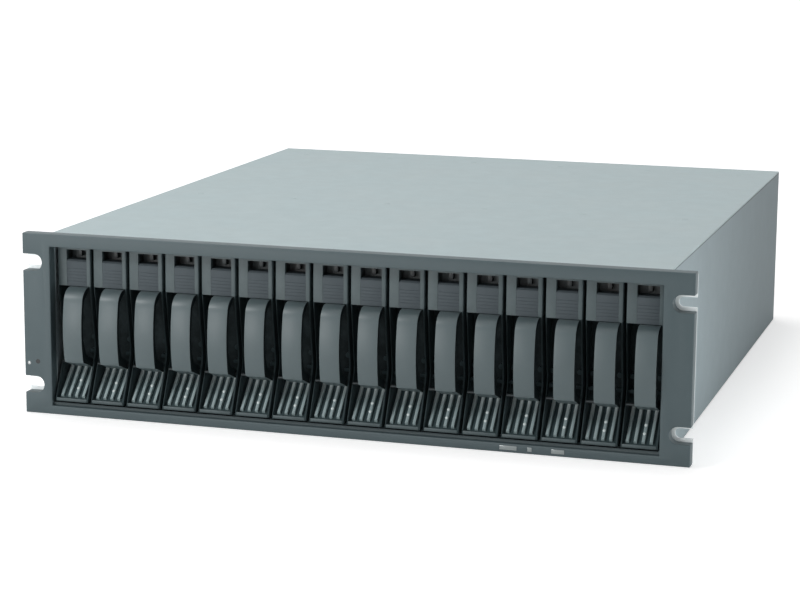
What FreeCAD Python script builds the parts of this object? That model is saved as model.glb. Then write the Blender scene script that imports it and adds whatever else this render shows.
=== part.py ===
"""Disk shelf enclosure: a 3U, 19-inch storage shelf with sixteen upright 3.5-inch drive carriers.

Frame: millimetres, +Z up. X = 0 is the middle of the shelf, with +X to the right seen from the front.
Y = 0 is the rear face of the rack ears, where they meet the rack's posts, and the front faces -Y.
Z = 0 is half-way up the front panel.
"""
import FreeCAD, Part
import math
import os

os.makedirs("parts", exist_ok=True)

# ---- rack front ----------------------------------------------------------------------------------
panel_width = 482.6          # 19-inch front panel
panel_height = 131.0         # three rack units, less the usual gap to the neighbours
slot_inset_x = 8.75          # panel's side edge to the middle of the rack slots
slot_inset_z = 21.05         # panel's upper or lower edge to the middle of a slot
slot_radius = 3.4            # rack screw slot in the steel ear
notch_radius = 5.9           # wider notch of the moulded bezel, clear of the screw's head
ear_sheet = 1.5              # steel of the ears and the front flanges
bezel_depth = 8.5            # moulded bezel, front to back
side_bar = 20.9              # bezel's upright bars, ears included
top_bar = 9.2
bottom_bar = 9.1
ledge_height = 3.0           # step below the lower edge of the opening
ledge_setback = 3.5          # how far the step's riser lies behind the bezel's front
edge_chamfer = 1.2           # outer upright edges of the bezel
window_height = 3.0          # status windows in the lower bar
window_drop = 5.8            # middle of the windows below the opening
window_spans = ((117.0, 12.0), (132.0, 3.0), (151.5, 9.0))   # centre and length of each window
window_sunk = 2.0            # how deep a window's light guide lies in the bezel

# ---- sheet-metal body ----------------------------------------------------------------------------
ear_width = 17.8             # panel's side edge to the side of the body
body_inset = 0.85            # panel's upper and lower edges beyond the body
body_depth = 500.0
sheet = 1.2
lid_fold = 6.5               # down-turned front edge of the top cover
lid_radius = 1.0             # bend radius there
beam_width = 18.0
front_beam_setback = 22.0    # middle of the front roof beam behind the midplane's front face
rear_beam_inset = 35.0       # middle of the rear roof beam in front of the body's rear edge

# ---- drive and sled ------------------------------------------------------------------------------
drive_thickness = 25.4       # 3.5-inch disk drive on its side
drive_length = 147.0
drive_start = 24.0           # front end of the drive
drive_margin = 5.0           # carrier's front beyond the drive, above and below
rail_thickness = 2.0
rail_side_gap = 0.4          # drive sled's rail to the ribs beside it
rail_gap = 0.3               # drive sled's rail to its guide tray
adapter_depth = 5.1          # adapter board behind the drive
plug_width = 8.0
plug_height = 42.0
plug_length = 7.0
plug_gap = 0.4               # carrier plug to midplane socket
socket_length = 6.5

# ---- drive bays ----------------------------------------------------------------------------------
drive_side_room = 2.1        # bay pitch beyond the drive's thickness
cage_front = 22.0            # front of the guide trays
guide_rib_width = 1.0
guide_rib_height = 2.4
midplane_thickness = 2.4
midplane_side_gap = 6.3      # midplane board to the side walls
midplane_edge_gap = 5.45     # midplane board to the lid and the floor
vent_width = 7.0             # airflow slot of the midplane between two bays
vent_margin = 16.0           # midplane's edge to the ends of its airflow slots
socket_width = 18.0          # midplane sockets of the rear modules
socket_height = 28.0

# ---- carrier moulding ----------------------------------------------------------------------------
carrier_side_room = 1.8      # gap between two carriers
carrier_end_gap = 0.5        # carrier to the upper and lower edges of the opening
carrier_depth = 18.0
side_wall = 1.2
strip_width = 7.5            # plain strip left of the latch
rim_width = 3.0              # rim right of the latch
latch_well_margin = 2.3      # rim above the latch's well
latch_well_height = 26.2
latch_well_depth = 10.0
scoop_reach = 8.0            # how far the side walls' front edge runs back
scoop_rise = 35.9            # its deepest point above the carrier's lower end
scoop_bend = 20.0            # bend radius there
foot_reach = 8.0             # how far the carrier's foot comes forward
foot_thickness = 2.0
pocket_depth = 16.0          # floor of the well behind the handle
ramp_rise = 30.9             # where the well's floor turns into the ramp, above the carrier's lower end
ramp_bend = 14.0             # bend radius there
ramp_angle = math.radians(45)
ramp_slot_depth = 1.8
ramp_rib_pitch = 5.4
ramp_rib_width = 2.2
ramp_slot_floor = 1.0        # material left under the slots
light_width = 1.8
light_height = 7.0
light_rise = 6.6             # light guide above the carrier's lower end
light_front = 0.5

# ---- latch ---------------------------------------------------------------------------------------
latch_travel = 5.0
latch_end_gap = 2.2          # latch at the end of its travel to the top of its well
latch_depth = 9.0
latch_gap = 0.3
tongue_width = 1.0           # side tongues that run in the well's grooves
tongue_front = 5.5
tongue_depth = 2.0

# ---- handle --------------------------------------------------------------------------------------
handle_gap = 0.4             # to the latch above and to the well's right wall
handle_width = 14.4
handle_skin = 3.0
handle_bow = 13.7            # reach of the bow in front of the carrier's face
belly_rise = 23.3            # the bow's foremost point above the handle's lower edge
belly_half = 5.5             # half the flat at the back of the bow
shoulder_reach = 11.0        # where the bow's upper end turns in
shoulder_drop = 7.2
crown_reach = 6.8            # a point on the rounded shoulder
crown_drop = 1.9
chin_reach = 11.8            # reach of the bow's lower end
pivot_depth = 4.0
pivot_rise = 27.0            # hinge above the carrier's lower end
foot_above_pivot = 2.0       # handle's lower edge above its hinge
pin_radius = 1.2
pin_clearance = 0.06         # radial, handle's hook on the pin
hook_wall = 1.6

# ---- rear modules --------------------------------------------------------------------------------
module_setback = 33.6        # module bodies behind the midplane
module_gap = 0.4
module_back = 2.0            # module face plates lie this far inside the body's rear edge
supply_bay = 88.0            # clear width of each power supply bay
face_sheet = 1.2
board_thickness = 1.6        # main board of each rear module
board_side_gap = 2.0
board_rise = 6.0             # board above the module's floor
fan_radius = 37.0            # radius of the fan's duct
fan_margin = 3.25            # duct to the roof of the bay
fan_duct = 30.0              # depth of the fan's duct behind the grille
fan_tip_gap = 1.5
fan_blades = 5
fan_hub_radius = 14.0
fan_depth = 18.0
fan_seat_gap = 0.3           # rotor to the end of its duct
fan_blade_thickness = 1.6
fan_blade_pitch = 50.0       # degrees from the fan's plane of turning
grille_slot = 6.0            # level slots of the fan grille
grille_bar = 2.6
grille_margin = 0.5          # ends of the slots to the wall of the duct
inlet_width = 27.0           # mains inlet
inlet_height = 19.5
inlet_depth = 18.0
inlet_rise = 25.45           # middle of the inlet above the body's floor
inlet_pins = ((-7.0, -2.0), (0.0, 3.0), (7.0, -2.0))   # X and Z of each pin from the inlet's middle
inlet_pin_width = 2.0
inlet_pin_height = 5.0
inlet_pin_recess = 5.0
lever_length = 58.0
lever_width = 14.0
lever_thickness = 3.0
lever_standoff = 16.0
lever_offset = 31.0          # lever's middle, outward from the supply's middle
lever_rise = 11.45           # lever's hinge above the body's floor
lever_pivot = 4.2            # its distance behind the supply's face
lever_pin_radius = 2.0
lever_pin_clearance = 0.06
lever_hook_wall = 1.6
cheek_thickness = 2.0        # cheeks that hold the lever's pin
cheek_reach = 8.4
port_width = 15.4            # disk cable port
port_height = 9.6
port_depth = 20.0
port_offsets = (-92.0, -66.0)
pull_span = 60.0             # module pull handle
pull_reach = 22.0
pull_bar = 6.0
pull_corner = 4.2            # radius of its outer corners

# ---- worked out from the sizes above -------------------------------------------------------------
near = 0.01                  # how close an edge's middle lies to where it is looked for
half_panel_x = panel_width / 2
half_panel_z = panel_height / 2
half_body_x = half_panel_x - ear_width
half_body_z = half_panel_z - body_inset
lid_under = half_body_z - sheet
floor_top = sheet - half_body_z
bezel_back = -ear_sheet
bezel_front = bezel_back - bezel_depth
inner_x = half_body_x - sheet
slot_x = half_panel_x - slot_inset_x
slot_z = half_panel_z - slot_inset_z
opening_half = half_panel_x - side_bar
opening_top = half_panel_z - top_bar
opening_bottom = bottom_bar - half_panel_z
window_level = opening_bottom - window_drop
bay_pitch = drive_thickness + drive_side_room
bay_count = int(2 * opening_half / bay_pitch)
carrier_width = bay_pitch - carrier_side_room
carrier_top = opening_top - carrier_end_gap
carrier_bottom = opening_bottom + carrier_end_gap
latch_well_top = carrier_top - latch_well_margin
front_split = latch_well_top - latch_well_height
latch_height = latch_well_height - latch_travel - latch_end_gap
scoop_level = carrier_bottom + scoop_rise
ramp_top = carrier_bottom + ramp_rise
light_low = carrier_bottom + light_rise
light_high = light_low + light_height
pivot_level = carrier_bottom + pivot_rise
foot_level = carrier_bottom + foot_thickness
latch_left = strip_width - carrier_width / 2
latch_right = carrier_width / 2 - rim_width
latch_middle = (latch_left + latch_right) / 2
drive_height = 2 * (carrier_top - drive_margin)
rail_outer = drive_height / 2 + rail_thickness
tray_level = rail_outer + rail_gap
rail_width = bay_pitch - guide_rib_width - 2 * rail_side_gap
drive_end = drive_start + drive_length
board_end = drive_end + adapter_depth
plug_end = board_end + plug_length
midplane_front = plug_end + plug_gap + socket_length
midplane_back = midplane_front + midplane_thickness
beam_rows = (midplane_front + front_beam_setback, body_depth - rear_beam_inset)
bay_top = lid_under - sheet
module_front = midplane_back + module_setback
module_rear = body_depth - module_back
module_middle = bay_top / 2
supply_middle = inner_x - supply_bay / 2
supply_half = supply_bay / 2 - module_gap
divider_x = inner_x - supply_bay
fan_level = bay_top - fan_margin - fan_radius
fan_start = module_rear - face_sheet - fan_duct + fan_seat_gap
inlet_level = floor_top + inlet_rise
lever_level = floor_top + lever_rise
lever_middle = supply_middle + lever_offset


def box(x0, x1, y0, y1, z0, z1):
    """A block between two corners."""
    return Part.makeBox(x1 - x0, y1 - y0, z1 - z0, FreeCAD.Vector(x0, y0, z0))


def rod_x(x0, x1, y, z, radius):
    """A round bar along X."""
    return Part.makeCylinder(radius, x1 - x0, FreeCAD.Vector(x0, y, z), FreeCAD.Vector(1, 0, 0))


def rod_y(y0, y1, x, z, radius):
    """A round bar along Y."""
    return Part.makeCylinder(radius, y1 - y0, FreeCAD.Vector(x, y0, z), FreeCAD.Vector(0, 1, 0))


def fuse(solids):
    """One solid from pieces that touch."""
    return solids[0].fuse(solids[1:]).removeSplitter()


def side_profile(steps, x0, x1):
    """Extrude an outline drawn in the YZ plane along X.

    Each step is the next point, or a pair of points: one on the arc, and the arc's end.
    """
    here = FreeCAD.Vector(x0, *steps[0])
    start = here
    edges = []
    for step in steps[1:]:
        if isinstance(step[0], tuple):
            middle, end = (FreeCAD.Vector(x0, *point) for point in step)
            edges.append(Part.Arc(here, middle, end).toShape())
        else:
            end = FreeCAD.Vector(x0, *step)
            edges.append(Part.makeLine(here, end))
        here = end
    edges.append(Part.makeLine(here, start))
    face = Part.Face(Part.Wire(edges))
    return face.extrude(FreeCAD.Vector(x1 - x0, 0, 0))


def rounded(before, corner, after, radius):
    """The point where a rounded corner starts, and its arc, for side_profile."""
    here = FreeCAD.Vector(*corner, 0)
    back = (FreeCAD.Vector(*before, 0) - here).normalize()
    ahead = (FreeCAD.Vector(*after, 0) - here).normalize()
    half = back.getAngle(ahead) / 2
    reach = radius / math.tan(half)
    centre = here + (back + ahead).normalize() * (radius / math.sin(half))
    middle = centre + (here - centre).normalize() * radius
    start = here + back * reach
    end = here + ahead * reach
    return [(start.x, start.y), ((middle.x, middle.y), (end.x, end.y))]


def placed(shape, x):
    """A copy of a bay's shape, moved to the bay's middle."""
    copy = shape.copy()
    copy.translate(FreeCAD.Vector(x, 0, 0))
    return copy


def mirrored_x(shape):
    """The left-hand twin of a right-hand shape."""
    return shape.mirror(FreeCAD.Vector(0, 0, 0), FreeCAD.Vector(1, 0, 0))


def write(name, solids):
    """Save one node as a group of separate solids."""
    Part.makeCompound(solids).exportStep("parts/" + name + ".step")


def bay_middles():
    """X of the middle of each bay, left to right."""
    return [(bay - (bay_count - 1) / 2) * bay_pitch for bay in range(bay_count)]


def bay_edges():
    """X of the boundaries between and beside the bays."""
    return [(bay - bay_count / 2) * bay_pitch for bay in range(bay_count + 1)]


# ---- enclosure -----------------------------------------------------------------------------------
def open_slot(side, level, radius, y0, y1):
    """A rack slot that runs out of the ear's outer edge."""
    middle = side * slot_x
    outside = side * (half_panel_x + radius)
    slot = box(min(middle, outside), max(middle, outside), y0, y1, level - radius, level + radius)
    return slot.fuse(rod_y(y0, y1, middle, level, radius))


def cut_rack_slots(shape, radius, y0, y1):
    """Cut the four rack slots."""
    slots = [open_slot(side, level, radius, y0, y1) for side in (-1, 1) for level in (-slot_z, slot_z)]
    return shape.cut(slots)


def steel_front():
    """Flanges round the bays, and the two rack ears, bent out of the side walls."""
    plate = box(-half_panel_x, half_panel_x, -ear_sheet, 0, -half_body_z, lid_under)
    hole = box(-opening_half, opening_half, -ear_sheet, 0, opening_bottom, opening_top)
    return cut_rack_slots(plate.cut(hole), slot_radius, -ear_sheet, 0)


def guide_tray(side):
    """Upper (side 1) or lower (side -1) tray with the ribs that guide the drive sleds."""
    outer = lid_under if side > 0 else -floor_top
    spans = [(cage_front, cage_front + sheet), (midplane_front - sheet, midplane_front)]
    low, high = sorted((side * tray_level, side * (tray_level + sheet)))
    pieces = [box(-inner_x, inner_x, cage_front, midplane_front, low, high)]
    low, high = sorted((side * tray_level, side * outer))
    pieces += [box(-inner_x, inner_x, y0, y1, low, high) for y0, y1 in spans]
    low, high = sorted((side * tray_level, side * (tray_level - guide_rib_height)))
    half = guide_rib_width / 2
    pieces += [box(x - half, x + half, cage_front, midplane_front, low, high) for x in bay_edges()[1:-1]]
    return pieces


def rear_partitions():
    """Walls between the rear module bays, and the shelf between the two controllers."""
    pieces = []
    for side in (-1, 1):
        low, high = sorted((side * divider_x, side * (divider_x - sheet)))
        pieces.append(box(low, high, module_front, body_depth, floor_top, bay_top))
    shelf_reach = divider_x - sheet
    pieces.append(box(-shelf_reach, shelf_reach, module_front, body_depth, -sheet / 2, sheet / 2))
    return pieces


def chassis():
    """The welded steel body: floor, side walls, ears, guide trays, roof beams and rear walls."""
    pieces = [steel_front(), box(-half_body_x, half_body_x, 0, body_depth, -half_body_z, floor_top)]
    for low, high in ((-half_body_x, -inner_x), (inner_x, half_body_x)):
        pieces.append(box(low, high, 0, body_depth, floor_top, lid_under))
    pieces += guide_tray(1) + guide_tray(-1) + rear_partitions()
    for row in beam_rows:
        front = row - beam_width / 2
        pieces.append(box(-inner_x, inner_x, front, front + beam_width, bay_top, lid_under))
    write("chassis", [fuse(pieces)])


def top_cover():
    """Flat steel lid with its front edge turned down over the front flange."""
    lid = box(-half_body_x, half_body_x, 0, body_depth, lid_under, half_body_z)
    front = box(-inner_x, inner_x, 0, sheet, lid_under - lid_fold, lid_under)
    lid = fuse([lid, front])
    bend = [edge for edge in lid.Edges
            if abs(edge.CenterOfMass.y) < near and abs(edge.CenterOfMass.z - half_body_z) < near]
    write("top_cover", [lid.makeFillet(lid_radius, bend)])


def front_bezel():
    """Moulded frame round the carriers, its notched ears, and the status windows of its lower bar."""
    frame = box(-half_panel_x, half_panel_x, bezel_front, bezel_back, -half_panel_z, half_panel_z)
    uprights = [edge for edge in frame.Edges
                if abs(edge.CenterOfMass.y - bezel_front) < near and abs(edge.CenterOfMass.z) < near]
    frame = frame.makeChamfer(edge_chamfer, uprights)
    hole = box(-opening_half, opening_half, bezel_front, bezel_back, opening_bottom, opening_top)
    step = box(-opening_half, opening_half, bezel_front, bezel_front + ledge_setback,
               opening_bottom - ledge_height, opening_bottom)
    frame = cut_rack_slots(frame.cut([hole, step]), notch_radius, bezel_front, bezel_back)
    windows = []
    for middle, length in window_spans:
        windows.append(box(middle - length / 2, middle + length / 2, bezel_front, bezel_front + window_sunk,
                           window_level - window_height / 2, window_level + window_height / 2))
    write("front_bezel", [frame.cut(windows)] + windows)


def midplane():
    """Upright circuit board behind the bays, with a drive socket per bay and the module sockets behind."""
    half_x = inner_x - midplane_side_gap
    half_z = lid_under - midplane_edge_gap
    vent_top = half_z - vent_margin
    board = box(-half_x, half_x, midplane_front, midplane_back, -half_z, half_z)
    vents = [box(x - vent_width / 2, x + vent_width / 2, midplane_front, midplane_back, -vent_top, vent_top)
             for x in bay_edges()[1:-1]]
    sockets = [box(x - plug_width / 2, x + plug_width / 2, midplane_front - socket_length, midplane_front,
                   -plug_height / 2, plug_height / 2) for x in bay_middles()]
    for x, z in rear_sockets():
        sockets.append(box(x - socket_width / 2, x + socket_width / 2,
                           midplane_back, module_front - module_gap,
                           z - socket_height / 2, z + socket_height / 2))
    write("midplane", [board.cut(vents)] + sockets)


def rear_sockets():
    """X and Z of the midplane's sockets for the rear modules, each between two vents."""
    supply = [(side * (supply_middle - supply_middle % bay_pitch + bay_pitch / 2), 0) for side in (-1, 1)]
    control = [(bay_pitch / 2, level) for level in (-module_middle, module_middle)]
    return supply + control


# ---- drive carrier -------------------------------------------------------------------------------
def carrier_moulding():
    """Carrier front: latch well above, open well behind the handle, and a ribbed ramp at the foot."""
    half = carrier_width / 2
    inner = half - side_wall
    edge = rounded((0, front_split), (scoop_reach, scoop_level), (-foot_reach, foot_level), scoop_bend)
    outline = [(0, carrier_top), (0, front_split)] + edge + [
        (-foot_reach, foot_level), (-foot_reach, carrier_bottom),
        (carrier_depth, carrier_bottom), (carrier_depth, carrier_top)]
    body = side_profile(outline, -half, half)
    return body.cut([handle_well(inner), light_pipe()] + ramp_slots(inner) + latch_well())


def slope_line():
    """Y and Z where the well's bend ends and the ramp's 45-degree slope begins."""
    turn = ramp_bend * math.sin(ramp_angle)
    return pocket_depth - ramp_bend + turn, ramp_top - turn


def handle_well(inner):
    """Hollow between the side walls: upright floor behind the handle, bend, slope and level foot."""
    y, z = slope_line()
    foot = (y + foot_level - z, foot_level)
    corner = (pocket_depth, z + pocket_depth - y)
    front = -2 * foot_reach
    outline = [(front, front_split), (pocket_depth, front_split)]
    outline += rounded((pocket_depth, front_split), corner, foot, ramp_bend)
    return side_profile(outline + [foot, (front, foot_level)], -inner, inner)


def ramp_slots(inner):
    """Air slots between the ramp's ribs; one rib stands below the middle of the latch."""
    y, z = slope_line()
    sink = ramp_slot_depth / math.sin(ramp_angle)
    low = carrier_bottom + ramp_slot_floor
    end = y + low - z + sink
    outline = [(y, z + sink), (y, z - sink), (end, low), (end, low + 2 * sink)]
    first = latch_middle - ramp_rib_pitch * int((latch_middle + inner) / ramp_rib_pitch)
    ribs = [first + step * ramp_rib_pitch for step in range(int((inner - first) / ramp_rib_pitch) + 1)]
    starts = [-inner] + [rib + ramp_rib_width / 2 for rib in ribs]
    ends = [rib - ramp_rib_width / 2 for rib in ribs] + [inner]
    return [side_profile(outline, x0, x1) for x0, x1 in zip(starts, ends) if x1 - x0 > ramp_rib_width / 2]


def latch_well():
    """Room for the latch and its travel, with a groove down each side for its tongues."""
    well = box(latch_left, latch_right, 0, latch_well_depth, front_split, latch_well_top)
    groove = box(latch_left - tongue_width, latch_right + tongue_width, tongue_front - latch_gap,
                 tongue_front + tongue_depth + latch_gap, front_split, latch_well_top)
    return [well, groove]


def light_pipe():
    """Light guide of the drive's two status lamps, in the middle rib."""
    return box(latch_middle - light_width / 2, latch_middle + light_width / 2, light_front, carrier_depth,
               light_low, light_high)


def half_pin(x0, x1, y, z, radius, side):
    """A half-round hinge bar along X, its round side to the front (side -1) or to the rear (side 1)."""
    return side_profile([(y, z - radius), ((y + side * radius, z), (y, z + radius))], x0, x1)


def hinge_pin():
    """Handle's hinge bar, held between the side walls."""
    inner = carrier_width / 2 - side_wall
    return half_pin(-inner, inner, pivot_depth, pivot_level, pin_radius, -1)


def sled_rails():
    """Steel rails above and below the drive, from the moulding back to the adapter board."""
    half = rail_width / 2
    rails = []
    for side in (-1, 1):
        low, high = sorted((side * drive_height / 2, side * rail_outer))
        rails.append(box(-half, half, carrier_depth, board_end, low, high))
    return rails


def drive_and_plug():
    """The disk drive between the rails, the adapter board behind it and the board's plug."""
    half = drive_thickness / 2
    drive = box(-half, half, drive_start, drive_end, -drive_height / 2, drive_height / 2)
    board = box(-plug_width / 2, plug_width / 2, drive_end, board_end, -drive_height / 2, drive_height / 2)
    plug = box(-plug_width / 2, plug_width / 2, board_end, plug_end, -plug_height / 2, plug_height / 2)
    return [drive, board, plug]


def drive_carrier():
    """Everything of a carrier that slides as one."""
    return [carrier_moulding(), light_pipe(), hinge_pin()] + sled_rails() + drive_and_plug()


def latch():
    """Sliding latch block with a tongue down each side."""
    top = front_split + latch_height
    block = box(latch_left + latch_gap, latch_right - latch_gap, 0, latch_depth, front_split, top)
    reach = tongue_width - latch_gap
    tongues = box(latch_left - reach, latch_right + reach, tongue_front, tongue_front + tongue_depth,
                  front_split, top)
    return fuse([block, tongues])


def handle():
    """Bowed pull handle whose foot hooks over the hinge bar."""
    top = front_split - handle_gap
    foot = pivot_level + foot_above_pivot
    belly = foot + belly_rise
    shoulder = (-shoulder_reach, top - shoulder_drop)
    back = handle_skin - handle_bow
    saddle = pin_radius + pin_clearance
    hook = saddle + hook_wall
    outline = [
        (0, top),
        ((-crown_reach, top - crown_drop), shoulder),
        ((-handle_bow, belly), (-chin_reach, foot + handle_skin)),
        (handle_skin - chin_reach, foot),
        (pivot_depth, pivot_level - hook), (pivot_depth + saddle, pivot_level - hook),
        (pivot_depth + saddle, pivot_level - saddle), (pivot_depth, pivot_level - saddle),
        ((pivot_depth - saddle, pivot_level), (pivot_depth, pivot_level + saddle)),
        (pivot_depth + saddle, pivot_level + saddle), (pivot_depth + saddle, pivot_level + hook),
        (2 * handle_skin - chin_reach, foot + 2 * handle_skin),
        (back, belly - belly_half), (back, belly + belly_half),
        (handle_skin - shoulder_reach, shoulder[1] - handle_skin / 2), (0, top - handle_skin),
    ]
    right = carrier_width / 2 - side_wall - handle_gap
    return side_profile(outline, right - handle_width, right)


def carriers():
    """One carrier, one latch and one handle per bay."""
    solids = drive_carrier()
    block = latch()
    grip = handle()
    for number, x in enumerate(bay_middles(), start=1):
        write("drive_carrier_%02d" % number, [placed(solid, x) for solid in solids])
        write("carrier_latch_%02d" % number, [placed(block, x)])
        write("carrier_handle_%02d" % number, [placed(grip, x)])


# ---- rear modules --------------------------------------------------------------------------------
def inside(case, back):
    """Hollow of a module's sheet-metal case: open towards the midplane, closed at the back."""
    room = case.BoundBox
    return box(room.XMin + face_sheet, room.XMax - face_sheet, module_front, back,
               room.ZMin + face_sheet, room.ZMax - face_sheet)


def main_board(hollow):
    """Circuit board on the floor of a module's case."""
    room = hollow.BoundBox
    return box(room.XMin + board_side_gap, room.XMax - board_side_gap, module_front, room.YMax,
               room.ZMin + board_rise, room.ZMin + board_rise + board_thickness)


def grille_slots(x, y0, y1):
    """Level slots that fill a circle over the fan."""
    slots = []
    pitch = grille_slot + grille_bar
    rows = int((fan_radius - grille_slot) / pitch)
    for row in range(-rows, rows + 1):
        level = row * pitch
        edge = abs(level) + grille_slot / 2
        reach = math.sqrt(fan_radius ** 2 - edge ** 2) - grille_margin
        slots.append(box(x - reach, x + reach, y0, y1, fan_level + level - grille_slot / 2,
                         fan_level + level + grille_slot / 2))
    return slots


def power_supply():
    """Right-hand power supply: case, fan duct behind a slotted grille, mains inlet and lever bracket."""
    x = supply_middle
    plate = module_rear - face_sheet
    case = box(x - supply_half, x + supply_half, module_front, module_rear,
               floor_top + module_gap, bay_top - module_gap)
    hollow = inside(case, plate - fan_duct - face_sheet)
    duct = rod_y(plate - fan_duct, plate, x, fan_level, fan_radius)
    inlet = box(x - inlet_width / 2, x + inlet_width / 2, module_rear - inlet_depth, module_rear,
                inlet_level - inlet_height / 2, inlet_level + inlet_height / 2)
    case = case.cut([hollow, duct, inlet] + grille_slots(x, plate, module_rear))
    pins = [box(x + step - inlet_pin_width / 2, x + step + inlet_pin_width / 2,
                module_rear - inlet_depth, module_rear - inlet_pin_recess,
                inlet_level + rise - inlet_pin_height / 2, inlet_level + rise + inlet_pin_height / 2)
            for step, rise in inlet_pins]
    return [case, main_board(hollow)] + pins + lever_bracket()


def lever_bracket():
    """Two cheeks and a half-round pin that carry the release lever."""
    gap = lever_width / 2 + module_gap
    tall = lever_pin_radius + lever_pin_clearance + lever_hook_wall
    cheeks = []
    for side in (-1, 1):
        low, high = sorted((lever_middle + side * gap, lever_middle + side * (gap + cheek_thickness)))
        cheeks.append(box(low, high, module_rear, module_rear + cheek_reach,
                          lever_level - tall, lever_level + tall))
    pin = half_pin(lever_middle - gap, lever_middle + gap, module_rear + lever_pivot, lever_level,
                   lever_pin_radius, 1)
    return cheeks + [pin]


def supply_lever():
    """Release lever: an upright arm with a finger gap behind it, hooked over its pin."""
    pivot = module_rear + lever_pivot
    saddle = lever_pin_radius + lever_pin_clearance
    hook = saddle + lever_hook_wall
    outer = module_rear + lever_standoff
    inner = outer - lever_thickness
    top = lever_level + lever_length
    outline = [
        (pivot, lever_level - saddle), ((pivot + saddle, lever_level), (pivot, lever_level + saddle)),
        (pivot, lever_level + hook), (inner, lever_level + 3 * hook), (inner, top - lever_thickness),
        (pivot, top - lever_thickness), (pivot, top), (outer, top), (outer, lever_level + 2 * hook),
        (pivot + hook, lever_level - hook / 2), (pivot + hook / 2, lever_level - hook),
        (pivot, lever_level - hook),
    ]
    return side_profile(outline, lever_middle - lever_width / 2, lever_middle + lever_width / 2)


def fan():
    """Fan rotor, seated at the end of its duct: pitched blades on a hub with two flats for each blade."""
    sides = 2 * fan_blades
    corners = [2 * math.pi * (side + 0.5) / sides for side in range(sides + 1)]
    rim = Part.makePolygon([FreeCAD.Vector(fan_hub_radius * math.cos(turn), -fan_depth / 2,
                                           fan_hub_radius * math.sin(turn)) for turn in corners])
    hub = Part.Face(rim).extrude(FreeCAD.Vector(0, fan_depth, 0))
    root = fan_hub_radius / 2
    tip = fan_radius - fan_tip_gap
    half = fan_blade_thickness / 2
    blades = []
    for number in range(fan_blades):
        blade = box(root, tip, -half, half, -fan_depth / 2, fan_depth / 2)
        blade.rotate(FreeCAD.Vector(0, 0, 0), FreeCAD.Vector(1, 0, 0), fan_blade_pitch)
        blade.rotate(FreeCAD.Vector(0, 0, 0), FreeCAD.Vector(0, 1, 0), number * 360.0 / fan_blades)
        blades.append(blade)
    rotor = fuse([hub] + blades)
    rotor.translate(FreeCAD.Vector(supply_middle, fan_start + fan_depth / 2, fan_level))
    return rotor


def controller():
    """Upper controller: case with two disk cable ports, and a pull handle."""
    half = divider_x - sheet - module_gap
    low = sheet / 2 + module_gap
    high = bay_top - module_gap
    level = (low + high) / 2
    case = box(-half, half, module_front, module_rear, low, high)
    ports = [box(x - port_width / 2, x + port_width / 2, module_rear - port_depth, module_rear,
                 level - port_height / 2, level + port_height / 2) for x in port_offsets]
    hollow = inside(case, module_rear - port_depth - face_sheet)
    return [case.cut([hollow] + ports), main_board(hollow), pull_handle(level)]


def pull_handle(level):
    """Squared pull handle fixed to a controller's face."""
    half = pull_span / 2
    reach = module_rear + pull_reach
    low = level - pull_bar / 2
    high = level + pull_bar / 2
    outer = box(-half, half, module_rear, reach, low, high)
    inner = box(pull_bar - half, half - pull_bar, module_rear, reach - pull_bar, low, high)
    handle_bar = outer.cut(inner)
    corners = [edge for edge in handle_bar.Edges
               if abs(edge.CenterOfMass.z - level) < near and edge.CenterOfMass.y > reach - near]
    return handle_bar.makeFillet(pull_corner, corners)


def turned_over(solid):
    """A controller's solid turned over about the Y axis, as the lower bay holds it."""
    return solid.rotated(FreeCAD.Vector(0, 0, 0), FreeCAD.Vector(0, 1, 0), 180)


def rear_modules():
    """Two power supplies with their levers and fans, and two controllers."""
    supply = power_supply()
    write("power_supply_right", supply)
    write("power_supply_left", [mirrored_x(solid) for solid in supply])
    write("supply_lever_right", [supply_lever()])
    write("supply_lever_left", [mirrored_x(supply_lever())])
    write("supply_fan_right", [fan()])
    write("supply_fan_left", [mirrored_x(fan())])
    upper = controller()
    write("controller_upper", upper)
    write("controller_lower", [turned_over(solid) for solid in upper])


chassis()
top_cover()
front_bezel()
midplane()
carriers()
rear_modules()
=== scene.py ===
"""Looks of the disk shelf enclosure: a 3U rack shelf with sixteen upright drive carriers.

Everything is in metres in the frame of the solids: +Z up, the front faces -Y, and Y = 0 is the
rear face of the rack ears. Each operator builds one piece, or one group of like pieces, over the
loaded frame.
"""
import math

import bmesh
import bpy
from bpy.props import FloatProperty, FloatVectorProperty, PointerProperty
from mathutils import Matrix, Vector


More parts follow.
